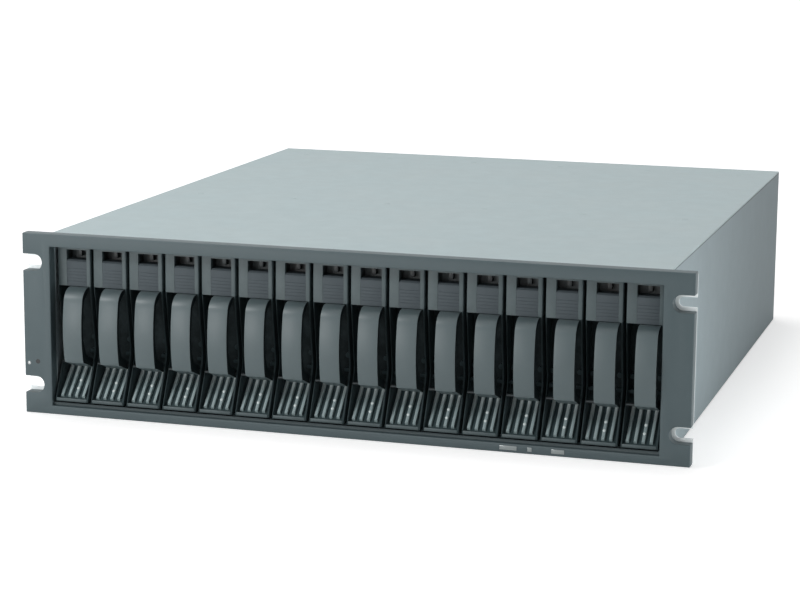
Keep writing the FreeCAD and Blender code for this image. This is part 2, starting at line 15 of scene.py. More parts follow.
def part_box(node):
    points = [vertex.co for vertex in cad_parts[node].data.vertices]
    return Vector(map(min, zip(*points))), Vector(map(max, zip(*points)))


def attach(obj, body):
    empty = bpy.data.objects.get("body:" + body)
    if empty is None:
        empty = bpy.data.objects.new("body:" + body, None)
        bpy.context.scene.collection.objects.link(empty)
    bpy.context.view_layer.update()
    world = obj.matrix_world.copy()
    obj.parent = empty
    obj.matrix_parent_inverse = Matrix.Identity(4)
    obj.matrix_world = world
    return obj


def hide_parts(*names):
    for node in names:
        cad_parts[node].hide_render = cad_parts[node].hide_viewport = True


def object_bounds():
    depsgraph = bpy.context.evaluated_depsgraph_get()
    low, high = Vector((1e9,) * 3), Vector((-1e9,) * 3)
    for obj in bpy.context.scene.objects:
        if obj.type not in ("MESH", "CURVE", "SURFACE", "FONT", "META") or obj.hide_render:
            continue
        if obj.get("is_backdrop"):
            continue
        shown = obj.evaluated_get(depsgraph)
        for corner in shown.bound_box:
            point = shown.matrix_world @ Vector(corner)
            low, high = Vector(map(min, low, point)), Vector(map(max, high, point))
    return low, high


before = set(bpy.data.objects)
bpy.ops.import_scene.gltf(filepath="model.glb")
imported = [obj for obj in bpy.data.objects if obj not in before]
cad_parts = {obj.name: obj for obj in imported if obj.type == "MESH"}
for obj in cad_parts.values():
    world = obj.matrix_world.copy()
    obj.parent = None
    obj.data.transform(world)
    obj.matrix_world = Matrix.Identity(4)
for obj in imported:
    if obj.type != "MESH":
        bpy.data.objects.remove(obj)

bl_info = {
    "name": "Disk shelf enclosure",
    "version": (1, 0, 0),
    "blender": (4, 5, 0),
    "location": "View3D > Sidebar > Disk shelf",
    "description": "Builds the visible pieces of a 3U disk shelf over its solids",
    "category": "Add Mesh",
}

BAYS = sorted(name[-2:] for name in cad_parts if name.startswith("drive_carrier_"))
SIDES = {"left": -1, "right": 1}
WINDOWS = ((0.117, 0.012), (0.132, 0.003), (0.1515, 0.009))    # middle and length of each
CONTROLLERS = {"controller_upper": 1, "controller_lower": -1}  # the lower one is turned over
AXES = (Vector((1, 0, 0)), Vector((0, 1, 0)), Vector((0, 0, 1)))
SHARP = math.radians(38)    # an edge that turns more than this is drawn sharp
TOUCH = 1e-6                # places closer than this are the same place
BEND_STEPS = 8              # steps of a bend in an outline
BEND_MIDDLE = 5             # point of the ramp's outline from which its ribs run down
SEAT = 0.00005              # how far a screw, lamp or rivet is let into the face that it sits on


def paint(red, green, blue):
    """A colour as the renderer takes it, from the usual 0 to 255 values."""
    parts = [value / 255 for value in (red, green, blue)]
    return tuple(part / 12.92 if part <= 0.04045 else ((part + 0.055) / 1.055) ** 2.4
                 for part in parts)


def length(name, description, millimetres):
    """A size of a detail, shown as a length."""
    return FloatProperty(name=name, description=description, default=millimetres / 1000, min=0,
                         unit="LENGTH")


def tint(name, description, red, green, blue):
    """A colour that a user may change."""
    return FloatVectorProperty(name=name, description=description,
                               default=paint(red, green, blue), size=3, min=0, max=1,
                               subtype="COLOR")


class ShelfSizes(bpy.types.PropertyGroup):
    """Sizes of the details that the solids leave open."""
    soft_edge: length("Soft edge", "Rounding of the moulded edges", 0.35)
    side_bar: length("Side bar", "Width of the bezel's upright bars, ears included", 20.9)
    top_bar: length("Top bar", "Height of the bezel's upper bar", 9.2)
    bottom_bar: length("Bottom bar", "Height of the bezel's lower bar", 9.1)
    notch_inset_x: length("Notch inset", "Bezel's side edge to the middle of a notch", 8.75)
    notch_inset_z: length("Notch height", "Bezel's upper edge to the middle of a notch", 21.05)
    notch_radius: length("Notch radius", "Radius of the bezel's open rack notches", 5.9)
    ledge_height: length("Ledge height", "Step below the carriers", 3.0)
    ledge_setback: length("Ledge setback", "Step's riser behind the bezel's front", 3.5)
    window_height: length("Window height", "Height of the status windows", 3.0)
    window_drop: length("Window drop", "Middle of the windows below the opening", 5.8)
    window_rim: length("Window rim", "Width of the frames round the status windows", 0.6)
    end_gap: length("End gap", "Gap between a carrier's front and the bezel's bars", 0.5)
    front_depth: length("Front depth", "Depth of a carrier's moulded front", 18.0)
    strip: length("Strip", "Plain strip left of a latch", 7.5)
    rim: length("Rim", "Rim right of a latch", 3.0)
    well_margin: length("Well margin", "Rim above a latch's well", 2.3)
    well_depth: length("Well depth", "Depth of a latch's well", 10.0)
    face_inset: length("Face inset", "Left edge of a carrier's front inside its rails", 0.5)
    side_wall: length("Side wall", "Thickness of a carrier's side walls", 1.2)
    scoop_reach: length("Scoop reach", "How far the side walls' edge runs back", 8.0)
    scoop_rise: length("Scoop rise", "That edge's deepest point above the lower end", 35.9)
    scoop_bend: length("Scoop bend", "Bend radius at that point", 20.0)
    pocket_depth: length("Pocket depth", "Floor of the well behind a handle", 16.0)
    ramp_rise: length("Ramp rise", "Start of the ramp above the carrier's lower end", 30.9)
    ramp_bend: length("Ramp bend", "Bend radius at the ramp's top", 14.0)
    ramp_sink: length("Ramp sink", "Floor between the ribs below their tops", 3.5)
    foot: length("Foot", "Thickness of a carrier's foot", 2.0)
    rib_pitch: length("Rib pitch", "Distance between the ramp's ribs", 5.4)
    rib_width: length("Rib width", "Width of a rib of the ramp", 2.2)
    rib_end: length("Rib end", "Lower end of the ribs above the lower end", 4.3)
    lip_width: length("Lip width", "Thickness of the lip before the ribs", 0.9)
    lip_rise: length("Lip rise", "Height of the lip above the foot", 0.5)
    lamp_radius: length("Lamp radius", "Radius of a drive's status lamps", 1.15)
    lamp_high: length("Upper lamp", "Upper lamp above the carrier's lower end", 13.4)
    lamp_low: length("Lower lamp", "Lower lamp above the carrier's lower end", 8.6)
    hinge_rise: length("Hinge rise", "Handle's hinge above the carrier's lower end", 27.0)
    hinge_depth: length("Hinge depth", "Handle's hinge behind the carrier's face", 4.0)
    hinge_radius: length("Hinge radius", "Radius of the handle's hinge bar", 1.2)
    skin: length("Handle skin", "Thickness of a handle", 3.0)
    hook: length("Hook", "Thickness of the hooks of handles and levers round their pins", 1.6)
    grip_pitch: length("Grip pitch", "Distance between the latch's grip lines", 2.3)
    tongue: length("Tongue", "Width of the tongues at a latch's sides", 0.7)
    drive_thickness: length("Drive thickness", "Thickness of a disk drive", 25.4)
    drive_height: length("Drive height", "Height of a disk drive on its side", 101.6)
    drive_length: length("Drive length", "Length of a disk drive", 147.0)
    drive_start: length("Drive start", "Front end of a disk drive behind its carrier's face", 24.0)
    adapter_depth: length("Adapter depth", "Adapter board behind a disk drive", 5.1)
    hub_radius: length("Fan hub", "Radius of the fans' hubs", 14.0)
    blade_reach: length("Blade reach", "Radius at the tips of the fans' blades", 35.2)
    blade_chord: length("Blade chord", "Width of the fans' blades", 19.0)
    blade_camber: length("Blade camber", "Curve of the fans' blades", 1.6)
    blade_skin: length("Blade skin", "Thickness of the fans' blades", 1.4)
    lever_hook: length("Lever hook", "Reach of a release lever's hook round its pin", 3.66)
    lever_skin: length("Lever skin", "Thickness of a release lever", 3.0)
    pad_pitch: length("Pad pitch", "Distance between the ribs of a lever's finger pad", 2.5)
    module_inset: length("Module inset", "Rear modules' faces inside the lid's end", 2.0)
    inlet_width: length("Inlet width", "Width of the mains inlets", 27.0)
    inlet_height: length("Inlet height", "Height of the mains inlets", 19.5)
    inlet_rise: length("Inlet rise", "Middle of the inlets above the supplies' floor", 24.05)
    port_width: length("Port width", "Width of the disk cable ports", 15.4)
    port_height: length("Port height", "Height of the disk cable ports", 9.6)
    frame_width: length("Frame width", "Width of the frames round inlets and ports", 1.2)
    knob_radius: length("Knob radius", "Radius of the controllers' captive screws", 4.2)
    knob_reach: length("Knob reach", "Reach of the controllers' captive screws", 7.5)
    rivet_radius: length("Rivet radius", "Radius of the lid's rivets", 2.6)
    rivet_rise: length("Rivet rise", "Height of the lid's rivets", 0.45)


class ShelfColours(bpy.types.PropertyGroup):
    """Colours of the finishes."""
    cover: tint("Cover paint", "Powder coat of the lid", 177, 194, 197)
    body: tint("Body paint", "Powder coat of the side walls", 170, 185, 190)
    bezel: tint("Bezel", "Moulded frame round the carriers", 77, 92, 96)
    moulding: tint("Carrier moulding", "Fronts of the carriers", 72, 86, 89)
    # Painted shade: the side walls are the moulding, painted darker where they stand in shade
    # beside a handle; the plain wall tone below is also a darkened copy.
    wall_back: tint("Wall texture", "Side walls behind their front edge", 48, 60, 63)
    wall: tint("Carrier wall", "Side walls beside a handle", 58, 70, 73)
    # Painted shade: a dark tone laid on the carriers' wells, the wells' upright floor and the
    # handles' sides, where they fall in shade.
    well: tint("Carrier well", "Textured inner faces of the carriers", 24, 32, 34)
    # Painted light: the ribs are the carriers' moulding, painted lighter for their lit faces, and
    # lighter still at their upper ends, which lie in the handle's shadow.
    rib: tint("Ramp rib", "Ribs of the ramp", 146, 164, 166)
    rubbed_rib: tint("Rubbed rib", "Upper ends of the ribs, rubbed by fingers", 212, 224, 224)
    ramp: tint("Ramp", "Floor between the ramp's ribs", 62, 76, 79)
    ear: tint("Ear steel", "Plated ears behind the bezel", 214, 218, 218)
    # Painted shadow: the dark line along the gap between the lid and the side walls.
    seam: tint("Lid seam", "Dark seam below the lid's edges", 48.4, 56.3, 59.9)
    # Painted shade: near-black tone for the deep shade at the back of a latch's well.
    recess: tint("Latch recess", "Back of a latch's well", 12, 17, 19)
    latch: tint("Latch", "Sliding latches", 69, 84, 87)
    handle: tint("Handle", "Bowed handles", 88, 102, 105)
    green_lens: tint("Green lens", "Unlit lenses on the rear modules", 84, 132, 98)
    lens: tint("Lamp lens", "Lenses of the status lamps", 190, 200, 200)
    window: tint("Status window", "Windows of the bezel", 158, 168, 168)
    steel: tint("Dark steel", "Hinge bars", 48, 54, 56)
    zinc: tint("Zinc", "Plated sheet metal and screws", 176, 180, 180)
    casting: tint("Casting", "Cast housing of the disk drives", 150, 154, 156)
    board: tint("Circuit board", "Green laminate", 38, 84, 60)
    black: tint("Black plastic", "Connectors, levers and fans", 26, 28, 30)
    dust: tint("Dust", "Dust that settles on upward faces", 196, 200, 198)
    floor: tint("Floor", "The pale floor", 231.1, 231.1, 231.1)


# ---- materials ---------------------------------------------------------------------------------
def colour(name):
    """One of the scene's colours, with its alpha."""
    return (*getattr(bpy.context.scene.shelf_colours, name), 1.0)


def add(tree, kind, inputs=None, **settings):
    """Add a node, give its settings, and set or link its inputs."""
    made = tree.nodes.new(kind)
    for name, value in settings.items():
        setattr(made, name, value)
    for name, value in (inputs or {}).items():
        if isinstance(value, bpy.types.NodeSocket):
            tree.links.new(value, made.inputs[name])
        else:
            made.inputs[name].default_value = value
    return made


def maths(tree, operation, first, second=0.0, clamp=False):
    """A Math node's result."""
    return add(tree, "ShaderNodeMath", {0: first, 1: second}, operation=operation,
               use_clamp=clamp).outputs[0]


def span(tree, value, low, high, to_low=0.0, to_high=1.0):
    """A value stretched from one range to another and held inside it."""
    return add(tree, "ShaderNodeMapRange", {
        "Value": value, "From Min": low, "From Max": high, "To Min": to_low,
        "To Max": to_high}).outputs["Result"]


def blend(tree, share, first, second):
    """Mix two colours, whose sockets are numbers 6 and 7 of the node."""
    return add(tree, "ShaderNodeMix", {0: share, 6: first, 7: second}, data_type="RGBA").outputs[2]


def object_place(tree):
    """The place on the surface in the shelf's frame."""
    return add(tree, "ShaderNodeTexCoord").outputs["Object"]


def coordinate(tree, axis):
    """One coordinate of that place."""
    return add(tree, "ShaderNodeSeparateXYZ", {"Vector": object_place(tree)}).outputs[axis]


def along(tree, axis, low, high, to_low=0.0, to_high=1.0):
    """A value that changes between two places on an axis, 0 to 1 unless told otherwise."""
    return span(tree, coordinate(tree, axis), low, high, to_low, to_high)


def noise(tree, place, scale, detail=3.0, roughness=0.55):
    """A noise texture's value."""
    return add(tree, "ShaderNodeTexNoise", {
        "Vector": place, "Scale": scale, "Detail": detail,
        "Roughness": roughness}).outputs["Fac"]


def new_group(name, inputs, outputs):
    """A shader node group with its sockets, and its input and output nodes."""
    group = bpy.data.node_groups.new(name, "ShaderNodeTree")
    for label, kind, default in inputs:
        made = group.interface.new_socket(name=label, in_out="INPUT", socket_type=kind)
        made.default_value = default
    for label, kind in outputs:
        group.interface.new_socket(name=label, in_out="OUTPUT", socket_type=kind)
    return group, group.nodes.new("NodeGroupInput"), group.nodes.new("NodeGroupOutput")


def grain_group():
    """Fine moulded or powder-coated grain: a tone that varies, a height and a roughness."""
    group, given, result = new_group("Surface grain", [
        ("Colour", "NodeSocketColor", (0.5, 0.5, 0.5, 1)), ("Scale", "NodeSocketFloat", 1500.0),
        ("Tone", "NodeSocketFloat", 0.06), ("Roughness", "NodeSocketFloat", 0.5)], [
        ("Colour", "NodeSocketColor"), ("Height", "NodeSocketFloat"),
        ("Roughness", "NodeSocketFloat")])
    place = object_place(group)
    fine = noise(group, place, given.outputs["Scale"], 2.0, 0.5)
    cloud = maths(group, "MULTIPLY", noise(group, place, 14.0, 4.0), 0.6)
    streak = maths(group, "MULTIPLY", noise(group, place, 90.0), 0.4)
    tone = maths(group, "SUBTRACT", maths(group, "ADD", cloud, streak), 0.5)
    shift = maths(group, "MULTIPLY", tone, given.outputs["Tone"])
    level = maths(group, "ADD", 1.0, maths(group, "MULTIPLY", shift, 4.0))
    scaled = add(group, "ShaderNodeVectorMath", {0: given.outputs["Colour"], "Scale": level},
                 operation="SCALE")
    rough = maths(group, "ADD", given.outputs["Roughness"], maths(group, "MULTIPLY", shift, 2.0),
                  True)
    group.links.new(scaled.outputs[0], result.inputs["Colour"])
    group.links.new(fine, result.inputs["Height"])
    group.links.new(rough, result.inputs["Roughness"])
    return group


def wear_group():
    """Paint or skin rubbed lighter along the outer edges."""
    group, given, result = new_group("Edge wear", [
        ("Colour", "NodeSocketColor", (0.5, 0.5, 0.5, 1)),
        ("Worn", "NodeSocketColor", (0.7, 0.7, 0.7, 1)),
        ("Amount", "NodeSocketFloat", 0.5)], [("Colour", "NodeSocketColor")])
    pointed = add(group, "ShaderNodeNewGeometry").outputs["Pointiness"]
    edge = span(group, pointed, 0.51, 0.6)
    rub = span(group, noise(group, object_place(group), 60.0, 5.0, 0.65), 0.4, 0.65)
    mask = maths(group, "MULTIPLY", maths(group, "MULTIPLY", edge, rub), given.outputs["Amount"],
                 True)
    worn = blend(group, mask, given.outputs["Colour"], given.outputs["Worn"])
    group.links.new(worn, result.inputs["Colour"])
    return group


def dust_group():
    """A thin layer of dust on the faces that look up."""
    group, given, result = new_group("Dust", [
        ("Colour", "NodeSocketColor", (0.5, 0.5, 0.5, 1)),
        ("Dust", "NodeSocketColor", (0.6, 0.6, 0.6, 1)),
        ("Amount", "NodeSocketFloat", 0.2)], [("Colour", "NodeSocketColor")])
    normal = add(group, "ShaderNodeNewGeometry").outputs["Normal"]
    up = add(group, "ShaderNodeSeparateXYZ", {"Vector": normal}).outputs["Z"]
    patch = span(group, noise(group, object_place(group), 22.0, 5.0), 0.35, 0.7)
    lying = maths(group, "MULTIPLY", span(group, up, 0.3, 1.0), patch)
    mask = maths(group, "MULTIPLY", lying, given.outputs["Amount"], True)
    dusty = blend(group, mask, given.outputs["Colour"], given.outputs["Dust"])
    group.links.new(dusty, result.inputs["Colour"])
    return group


GROUP_MAKERS = {"Surface grain": grain_group, "Edge wear": wear_group, "Dust": dust_group}


def effect(tree, name, inputs):
    """Place a shared effect in a material, building the group the first time."""
    group = bpy.data.node_groups.get(name) or GROUP_MAKERS[name]()
    return add(tree, "ShaderNodeGroup", inputs, node_tree=group).outputs


def empty_material(name):
    """A material with only its output and shader."""
    made = bpy.data.materials.new(name)
    made.use_nodes = True
    tree = made.node_tree
    tree.nodes.clear()
    shader = tree.nodes.new("ShaderNodeBsdfPrincipled")
    add(tree, "ShaderNodeOutputMaterial", {"Surface": shader.outputs[0]})
    return made, tree, shader


def finish(name, tint_name, roughness, metallic=0.0, grain=1500.0, bump=0.25, tone=0.05,
           wear=0.3, worn=1.5, dust=0.0, shade=None, plated=None, gloss=0.5):
    """A moulded, painted or plated finish with grain, edge wear and dust."""
    made, tree, shader = empty_material(name)
    base = colour(tint_name)
    light = tuple(min(1.0, part * worn + 0.02) for part in base[:3]) + (1.0,)
    surface = effect(tree, "Surface grain", {"Colour": shade(tree, base) if shade else base,
                                             "Scale": grain, "Tone": tone,
                                             "Roughness": roughness})
    rubbed = effect(tree, "Edge wear", {"Colour": surface["Colour"], "Worn": light,
                                        "Amount": wear})
    dusty = effect(tree, "Dust", {"Colour": rubbed["Colour"], "Dust": colour("dust"),
                                  "Amount": dust})
    relief = add(tree, "ShaderNodeBump", {"Height": surface["Height"], "Strength": bump,
                                          "Distance": 0.0001})
    tree.links.new(dusty["Colour"], shader.inputs["Base Color"])
    tree.links.new(surface["Roughness"], shader.inputs["Roughness"])
    tree.links.new(relief.outputs["Normal"], shader.inputs["Normal"])
    shader.inputs["Metallic"].default_value = metallic
    shader.inputs["Specular IOR Level"].default_value = gloss
    if plated:
        tree.links.new(plated(tree), shader.inputs["Metallic"])
    return made


def lamp_lens(name, tint_name, glow):
    """A clear lens over a light guide, faintly lit."""
    made, tree, shader = empty_material(name)
    surface = effect(tree, "Surface grain", {"Colour": colour(tint_name), "Scale": 900.0,
                                             "Tone": 0.03, "Roughness": 0.18})
    tree.links.new(surface["Colour"], shader.inputs["Base Color"])
    tree.links.new(surface["Roughness"], shader.inputs["Roughness"])
    tree.links.new(surface["Colour"], shader.inputs["Emission Color"])
    shader.inputs["Emission Strength"].default_value = glow
    shader.inputs["Coat Weight"].default_value = 0.6
    return made


def ear_mask(tree):
    """1 on the rack ears, which stand out beside the lid."""
    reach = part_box("top_cover")[1].x
    return span(tree, maths(tree, "ABSOLUTE", coordinate(tree, "X")), reach + 0.0001,
                reach + 0.0003)


def body_shade(tree, base):
    """Powder coat of the body: a painted shadow line in the seam below the lid, and plated ears.
    """
    front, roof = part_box("top_cover")[0].y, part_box("chassis")[1].z
    # Painted shadow along the lid's lower edge.
    seam = maths(tree, "MULTIPLY", along(tree, "Z", roof - 0.0009, roof - 0.0003),
                 along(tree, "Y", front, front + 0.001))
    painted = blend(tree, maths(tree, "MULTIPLY", seam, 0.75), base, colour("seam"))
    return blend(tree, ear_mask(tree), painted, colour("ear"))


def board_shade(tree, base):
    """Laminate of the midplane, and black sockets before and behind it."""
    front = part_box("midplane")[0].y
    before = along(tree, "Y", front + 0.0064, front + 0.00645, 1.0, 0.0)
    behind = along(tree, "Y", front + 0.00895, front + 0.009)
    return blend(tree, maths(tree, "MAXIMUM", before, behind), base, colour("black"))


def shade_depth_mask(tree):
    """A mask that is 0 at the carriers' face and 1 deeper behind it, where painted shade goes."""
    return along(tree, "Y", 0.0012, 0.0045)


def beside_handle(tree):
    """A mask that is 0 at the ramp and 1 beside the handle, where painted shade goes."""
    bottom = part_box("drive_carrier_01")[0].z
    return along(tree, "Z", bottom + 0.022, bottom + 0.030)


def well_shade(tree, base):
    """Carrier moulding: own tone at its face, painted shade behind it, darkest behind the latch.
    """
    latch_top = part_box("carrier_latch_01")[1].z
    # Painted shade: the recess behind the latch gets the near-black recess tone.
    recess = maths(tree, "MULTIPLY", along(tree, "Z", latch_top - 0.001, latch_top),
                   along(tree, "Y", 0.002, 0.005))
    return blend(tree, recess, blend(tree, shade_depth_mask(tree), base, colour("well")),
                 colour("recess"))


def wall_shade(tree, base):
    """Side walls: painted shade beside the handle, plain at their front edge and the ramp."""
    mask = maths(tree, "MULTIPLY", shade_depth_mask(tree), beside_handle(tree))
    return blend(tree, mask, base, colour("wall_back"))


def rib_painted_highlight(tree, base):
    """Ribs painted lighter below the handle's foot: painted light against the handle's shadow
    there.
    """
    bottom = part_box("drive_carrier_01")[0].z
    return blend(tree, along(tree, "Z", bottom + 0.014, bottom + 0.024), base,
                 colour("rubbed_rib"))


def ramp_shade(tree, base):
    """The ramp's floor, and painted shade on the upright floor of the well above it."""
    return blend(tree, beside_handle(tree), base, colour("well"))


FINISHES = {
    "cover_powder_coat": dict(tint_name="cover", roughness=0.55, grain=1100.0, bump=0.3,
                              tone=0.025, wear=0.25, worn=1.15, dust=0.12),
    "body_powder_coat": dict(tint_name="body", roughness=0.55, grain=1100.0, bump=0.3, tone=0.03,
                             wear=0.2, worn=1.15, dust=0.05, shade=body_shade, plated=ear_mask,
                             gloss=0.05),
    "bezel_texture_plastic": dict(tint_name="bezel", roughness=0.5, grain=2200.0, bump=0.3,
                                  tone=0.04, worn=1.4, dust=0.05),
    "carrier_moulding_plastic": dict(tint_name="moulding", roughness=0.48, grain=2200.0, bump=0.3,
                                     wear=0.35, dust=0.05, shade=well_shade),
    "carrier_wall_plastic": dict(tint_name="wall", roughness=0.55, grain=2200.0, bump=0.3,
                                 wear=0.2, worn=1.4, shade=wall_shade, gloss=0.08),
    "carrier_rib_plastic": dict(tint_name="rib", roughness=0.45, grain=2200.0, bump=0.2,
                                wear=0.35, worn=1.4, dust=0.05, shade=rib_painted_highlight),
    "carrier_ramp_plastic": dict(tint_name="ramp", roughness=0.6, tone=0.06, wear=0.2,
                                 shade=ramp_shade, gloss=0.08),
    "blackened_steel": dict(tint_name="steel", roughness=0.4, metallic=0.6, grain=700.0, bump=0.1,
                            worn=1.4),
    "handle_satin_plastic": dict(tint_name="handle", roughness=0.4, grain=2600.0, bump=0.15,
                                 tone=0.04, wear=0.35, worn=1.35, dust=0.05),
    # Painted shade on the handles' sides, in the dark well tone.
    "handle_side_plastic": dict(tint_name="well", roughness=0.6, grain=1800.0, bump=0.4,
                                tone=0.06, wear=0.2, worn=1.6, gloss=0.1),
    "latch_plastic": dict(tint_name="latch", roughness=0.5, grain=2000.0, bump=0.3, wear=0.4),
    "zinc_plate": dict(tint_name="zinc", roughness=0.35, metallic=0.9, grain=600.0, bump=0.08,
                       tone=0.06, worn=1.2),
    "module_sheet": dict(tint_name="zinc", roughness=0.42, metallic=0.55, grain=500.0, bump=0.08,
                         worn=1.2, dust=0.08),
    "drive_casting": dict(tint_name="casting", roughness=0.5, metallic=0.7, grain=900.0, bump=0.4,
                          tone=0.06, wear=0.5, worn=1.3),
    "black_plastic": dict(tint_name="black", roughness=0.45, grain=1600.0, tone=0.08, worn=2.0,
                          dust=0.04),
    "board_laminate": dict(tint_name="board", roughness=0.35, grain=300.0, bump=0.15, tone=0.08,
                           wear=0.1, worn=1.3, shade=board_shade),
    "small_board_laminate": dict(tint_name="board", roughness=0.35, grain=300.0, bump=0.15,
                                 tone=0.08, wear=0.1, worn=1.3),
}
LENSES = {
    "lamp_lens": dict(tint_name="lens", glow=0.3),
    "window_lens": dict(tint_name="window", glow=0.0),
    "module_lens": dict(tint_name="green_lens", glow=0.03),
}


def material(name):
    """A finish or a lens by its name, made the first time that it is asked for."""
    found = bpy.data.materials.get(name)
    if found:
        return found
    return lamp_lens(name, **LENSES[name]) if name in LENSES else finish(name, **FINISHES[name])


# ---- mesh tools --------------------------------------------------------------------------------
def lowest(edge, axis):
    """The smaller coordinate of an edge's two ends."""
    return min(vert.co[axis] for vert in edge.verts)


def highest(edge, axis):
    """The larger coordinate of an edge's two ends."""
    return max(vert.co[axis] for vert in edge.verts)


def upright_to_x(edge):
    """Whether an edge lies in a plane square to X."""
    return highest(edge, 0) - lowest(edge, 0) < TOUCH


def in_slot(faces, slot):
    """Give faces their material slot, and return them."""
    for face in faces:
        face.material_index = slot
    return faces


def faces_round(verts):
    """The faces that touch some corners."""
    return list({face for vert in verts for face in vert.link_faces})


def draw_out(bm, faces, shift, keep=True):
    """Extrude faces along a vector, and return the corners that moved."""
    drawn = bmesh.ops.extrude_face_region(bm, geom=faces, use_keep_orig=keep)["geom"]
    moved = [item for item in drawn if isinstance(item, bmesh.types.BMVert)]
    bmesh.ops.translate(bm, verts=moved, vec=shift)
    return moved


def soften(bm, faces, offset, segments=2, pick=None):
    """Round the sharp edges of some faces, or those that pick accepts."""
    edges = {edge for face in faces if face.is_valid for edge in face.edges}
    edges = [edge for edge in edges if edge.is_manifold and edge.calc_face_angle(0) > SHARP
             and (pick is None or pick(edge))]
    bmesh.ops.bevel(bm, geom=edges, offset=offset, offset_type="OFFSET", segments=segments,
                    profile=0.5, affect="EDGES", clamp_overlap=True, material=-1)


def block(bm, here, there, slot=0, round_by=0.0, segments=2):
    """Add a closed block between two opposite corners, with its edges rounded."""
    low, high = Vector(map(min, here, there)), Vector(map(max, here, there))
    matrix = Matrix.Translation((low + high) / 2) @ Matrix.Diagonal((*(high - low), 1.0))
    verts = bmesh.ops.create_cube(bm, size=1.0, matrix=matrix)["verts"]
    faces = in_slot(faces_round(verts), slot)
    if round_by:
        soften(bm, faces, round_by, segments)


def prism(bm, outline, axis, low, high, slot=0):
    """Add a closed solid: an outline, drawn in the other two axes, drawn out along one axis."""
    verts = []
    for point in outline:
        place = list(point)
        place.insert(axis, low)
        verts.append(bm.verts.new(place))
    moved = draw_out(bm, [bm.faces.new(verts)], AXES[axis] * (high - low))
    faces = faces_round(verts + moved)
    bmesh.ops.recalc_face_normals(bm, faces=faces)
    return in_slot(faces, slot)


def turned_to(direction):
    """The turn that brings +Z to a direction."""
    return Vector((0, 0, 1)).rotation_difference(Vector(direction)).to_matrix().to_4x4()


def tube(bm, centre, axis, radius, depth, segments=24, slot=0, far_radius=None, round_by=0.0,
         round_steps=2):
    """Add a closed round bar that starts at centre and runs along an axis, its rims rounded."""
    place = Matrix.Translation(Vector(centre) + AXES[axis] * depth / 2)
    verts = bmesh.ops.create_cone(bm, cap_ends=True, segments=segments, radius1=radius,
                                  radius2=far_radius or radius, depth=abs(depth),
                                  matrix=place @ turned_to(AXES[axis]))["verts"]
    faces = in_slot(faces_round(verts), slot)
    if round_by:
        soften(bm, faces, round_by, round_steps)


def dome(bm, centre, normal, radius, rise, segments=16, slot=0):
    """Add a closed shallow dome on a surface that looks along normal."""
    before = set(bm.faces)
    matrix = (Matrix.Translation(centre) @ turned_to(normal)
              @ Matrix.Diagonal((radius, radius, rise, 1.0)))
    verts = bmesh.ops.create_uvsphere(bm, u_segments=segments, v_segments=8, radius=1.0,
                                      matrix=matrix)["verts"]
    geom = list({item for vert in verts for item in (vert, *vert.link_edges, *vert.link_faces)})
    cut = bmesh.ops.bisect_plane(bm, geom=geom, plane_co=centre, plane_no=Vector(normal),
                                 clear_inner=True)
    rim = [item for item in cut["geom_cut"] if isinstance(item, bmesh.types.BMEdge)]
    bmesh.ops.contextual_create(bm, geom=rim)
    in_slot([face for face in bm.faces if face not in before], slot)


def arc(start, through, end, steps):
    """Points of the arc through three points of a plane, its start left out."""
    (ax, ay), (bx, by), (cx, cy) = start, through, end
    d = 2 * (ax * (by - cy) + bx * (cy - ay) + cx * (ay - by))
    sa, sb, sc = ax * ax + ay * ay, bx * bx + by * by, cx * cx + cy * cy
    ux = (sa * (by - cy) + sb * (cy - ay) + sc * (ay - by)) / d
    uy = (sa * (cx - bx) + sb * (ax - cx) + sc * (bx - ax)) / d
    radius = math.hypot(ax - ux, ay - uy)
    first = math.atan2(ay - uy, ax - ux)
    sweep = (math.atan2(cy - uy, cx - ux) - first) % (2 * math.pi)
    if (math.atan2(by - uy, bx - ux) - first) % (2 * math.pi) > sweep:
        sweep -= 2 * math.pi
    angles = [first + sweep * step / steps for step in range(1, steps + 1)]
    return [(ux + radius * math.cos(angle), uy + radius * math.sin(angle)) for angle in angles]


def corner(before, here, after, radius, steps):
    """Points that round a corner of an outline."""
    here = Vector(here)
    back = (Vector(before) - here).normalized()
    ahead = (Vector(after) - here).normalized()
    half = back.angle(ahead) / 2
    start, end = (here + way * radius / math.tan(half) for way in (back, ahead))
    through = here + (back + ahead).normalized() * (radius / math.sin(half) - radius)
    return [tuple(start)] + arc(tuple(start), tuple(through), tuple(end), steps)


def mesh_of(bm, name):
    """Finish a bmesh as mesh data with smooth faces and sharp hard edges."""
    for face in bm.faces:
        face.smooth = True
    for edge in bm.edges:
        edge.smooth = not edge.is_manifold or edge.calc_face_angle(0) < SHARP
    mesh = bpy.data.meshes.new(name)
    bm.to_mesh(mesh)
    bm.free()
    return mesh


def shown(name, data):
    """Link a new object to the scene."""
    made = bpy.data.objects.new(name, data)
    bpy.context.scene.collection.objects.link(made)
    return made


def piece(name, mesh, materials, body, replaced=()):
    """Show a mesh as a piece that rides on a body."""
    for label in materials:
        mesh.materials.append(material(label))
    made = shown(name, mesh)
    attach(made, body)
    if replaced:
        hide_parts(*replaced)


def in_each_bay(name, mesh, materials, body, replaced=False):
    """A copy of a bay's mesh, drawn about X = 0, for each bay; body names its bay's body."""
    for bay in BAYS:
        copy = mesh.copy()
        copy.transform(Matrix.Translation((middle_x("drive_carrier_" + bay), 0, 0)))
        copy.name = name + bay
        piece(name + bay, copy, materials, body + bay, (body + bay,) if replaced else ())
    bpy.data.meshes.remove(mesh)


def middle_x(node):
    """X of the middle of a node's box."""
    low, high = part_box(node)
    return (low.x + high.x) / 2


def bay_box(node):
    """The box of a node of the first bay, moved to X = 0."""
    shift = Vector((middle_x("drive_carrier_01"), 0, 0))
    return [Vector(point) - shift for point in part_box(node)]


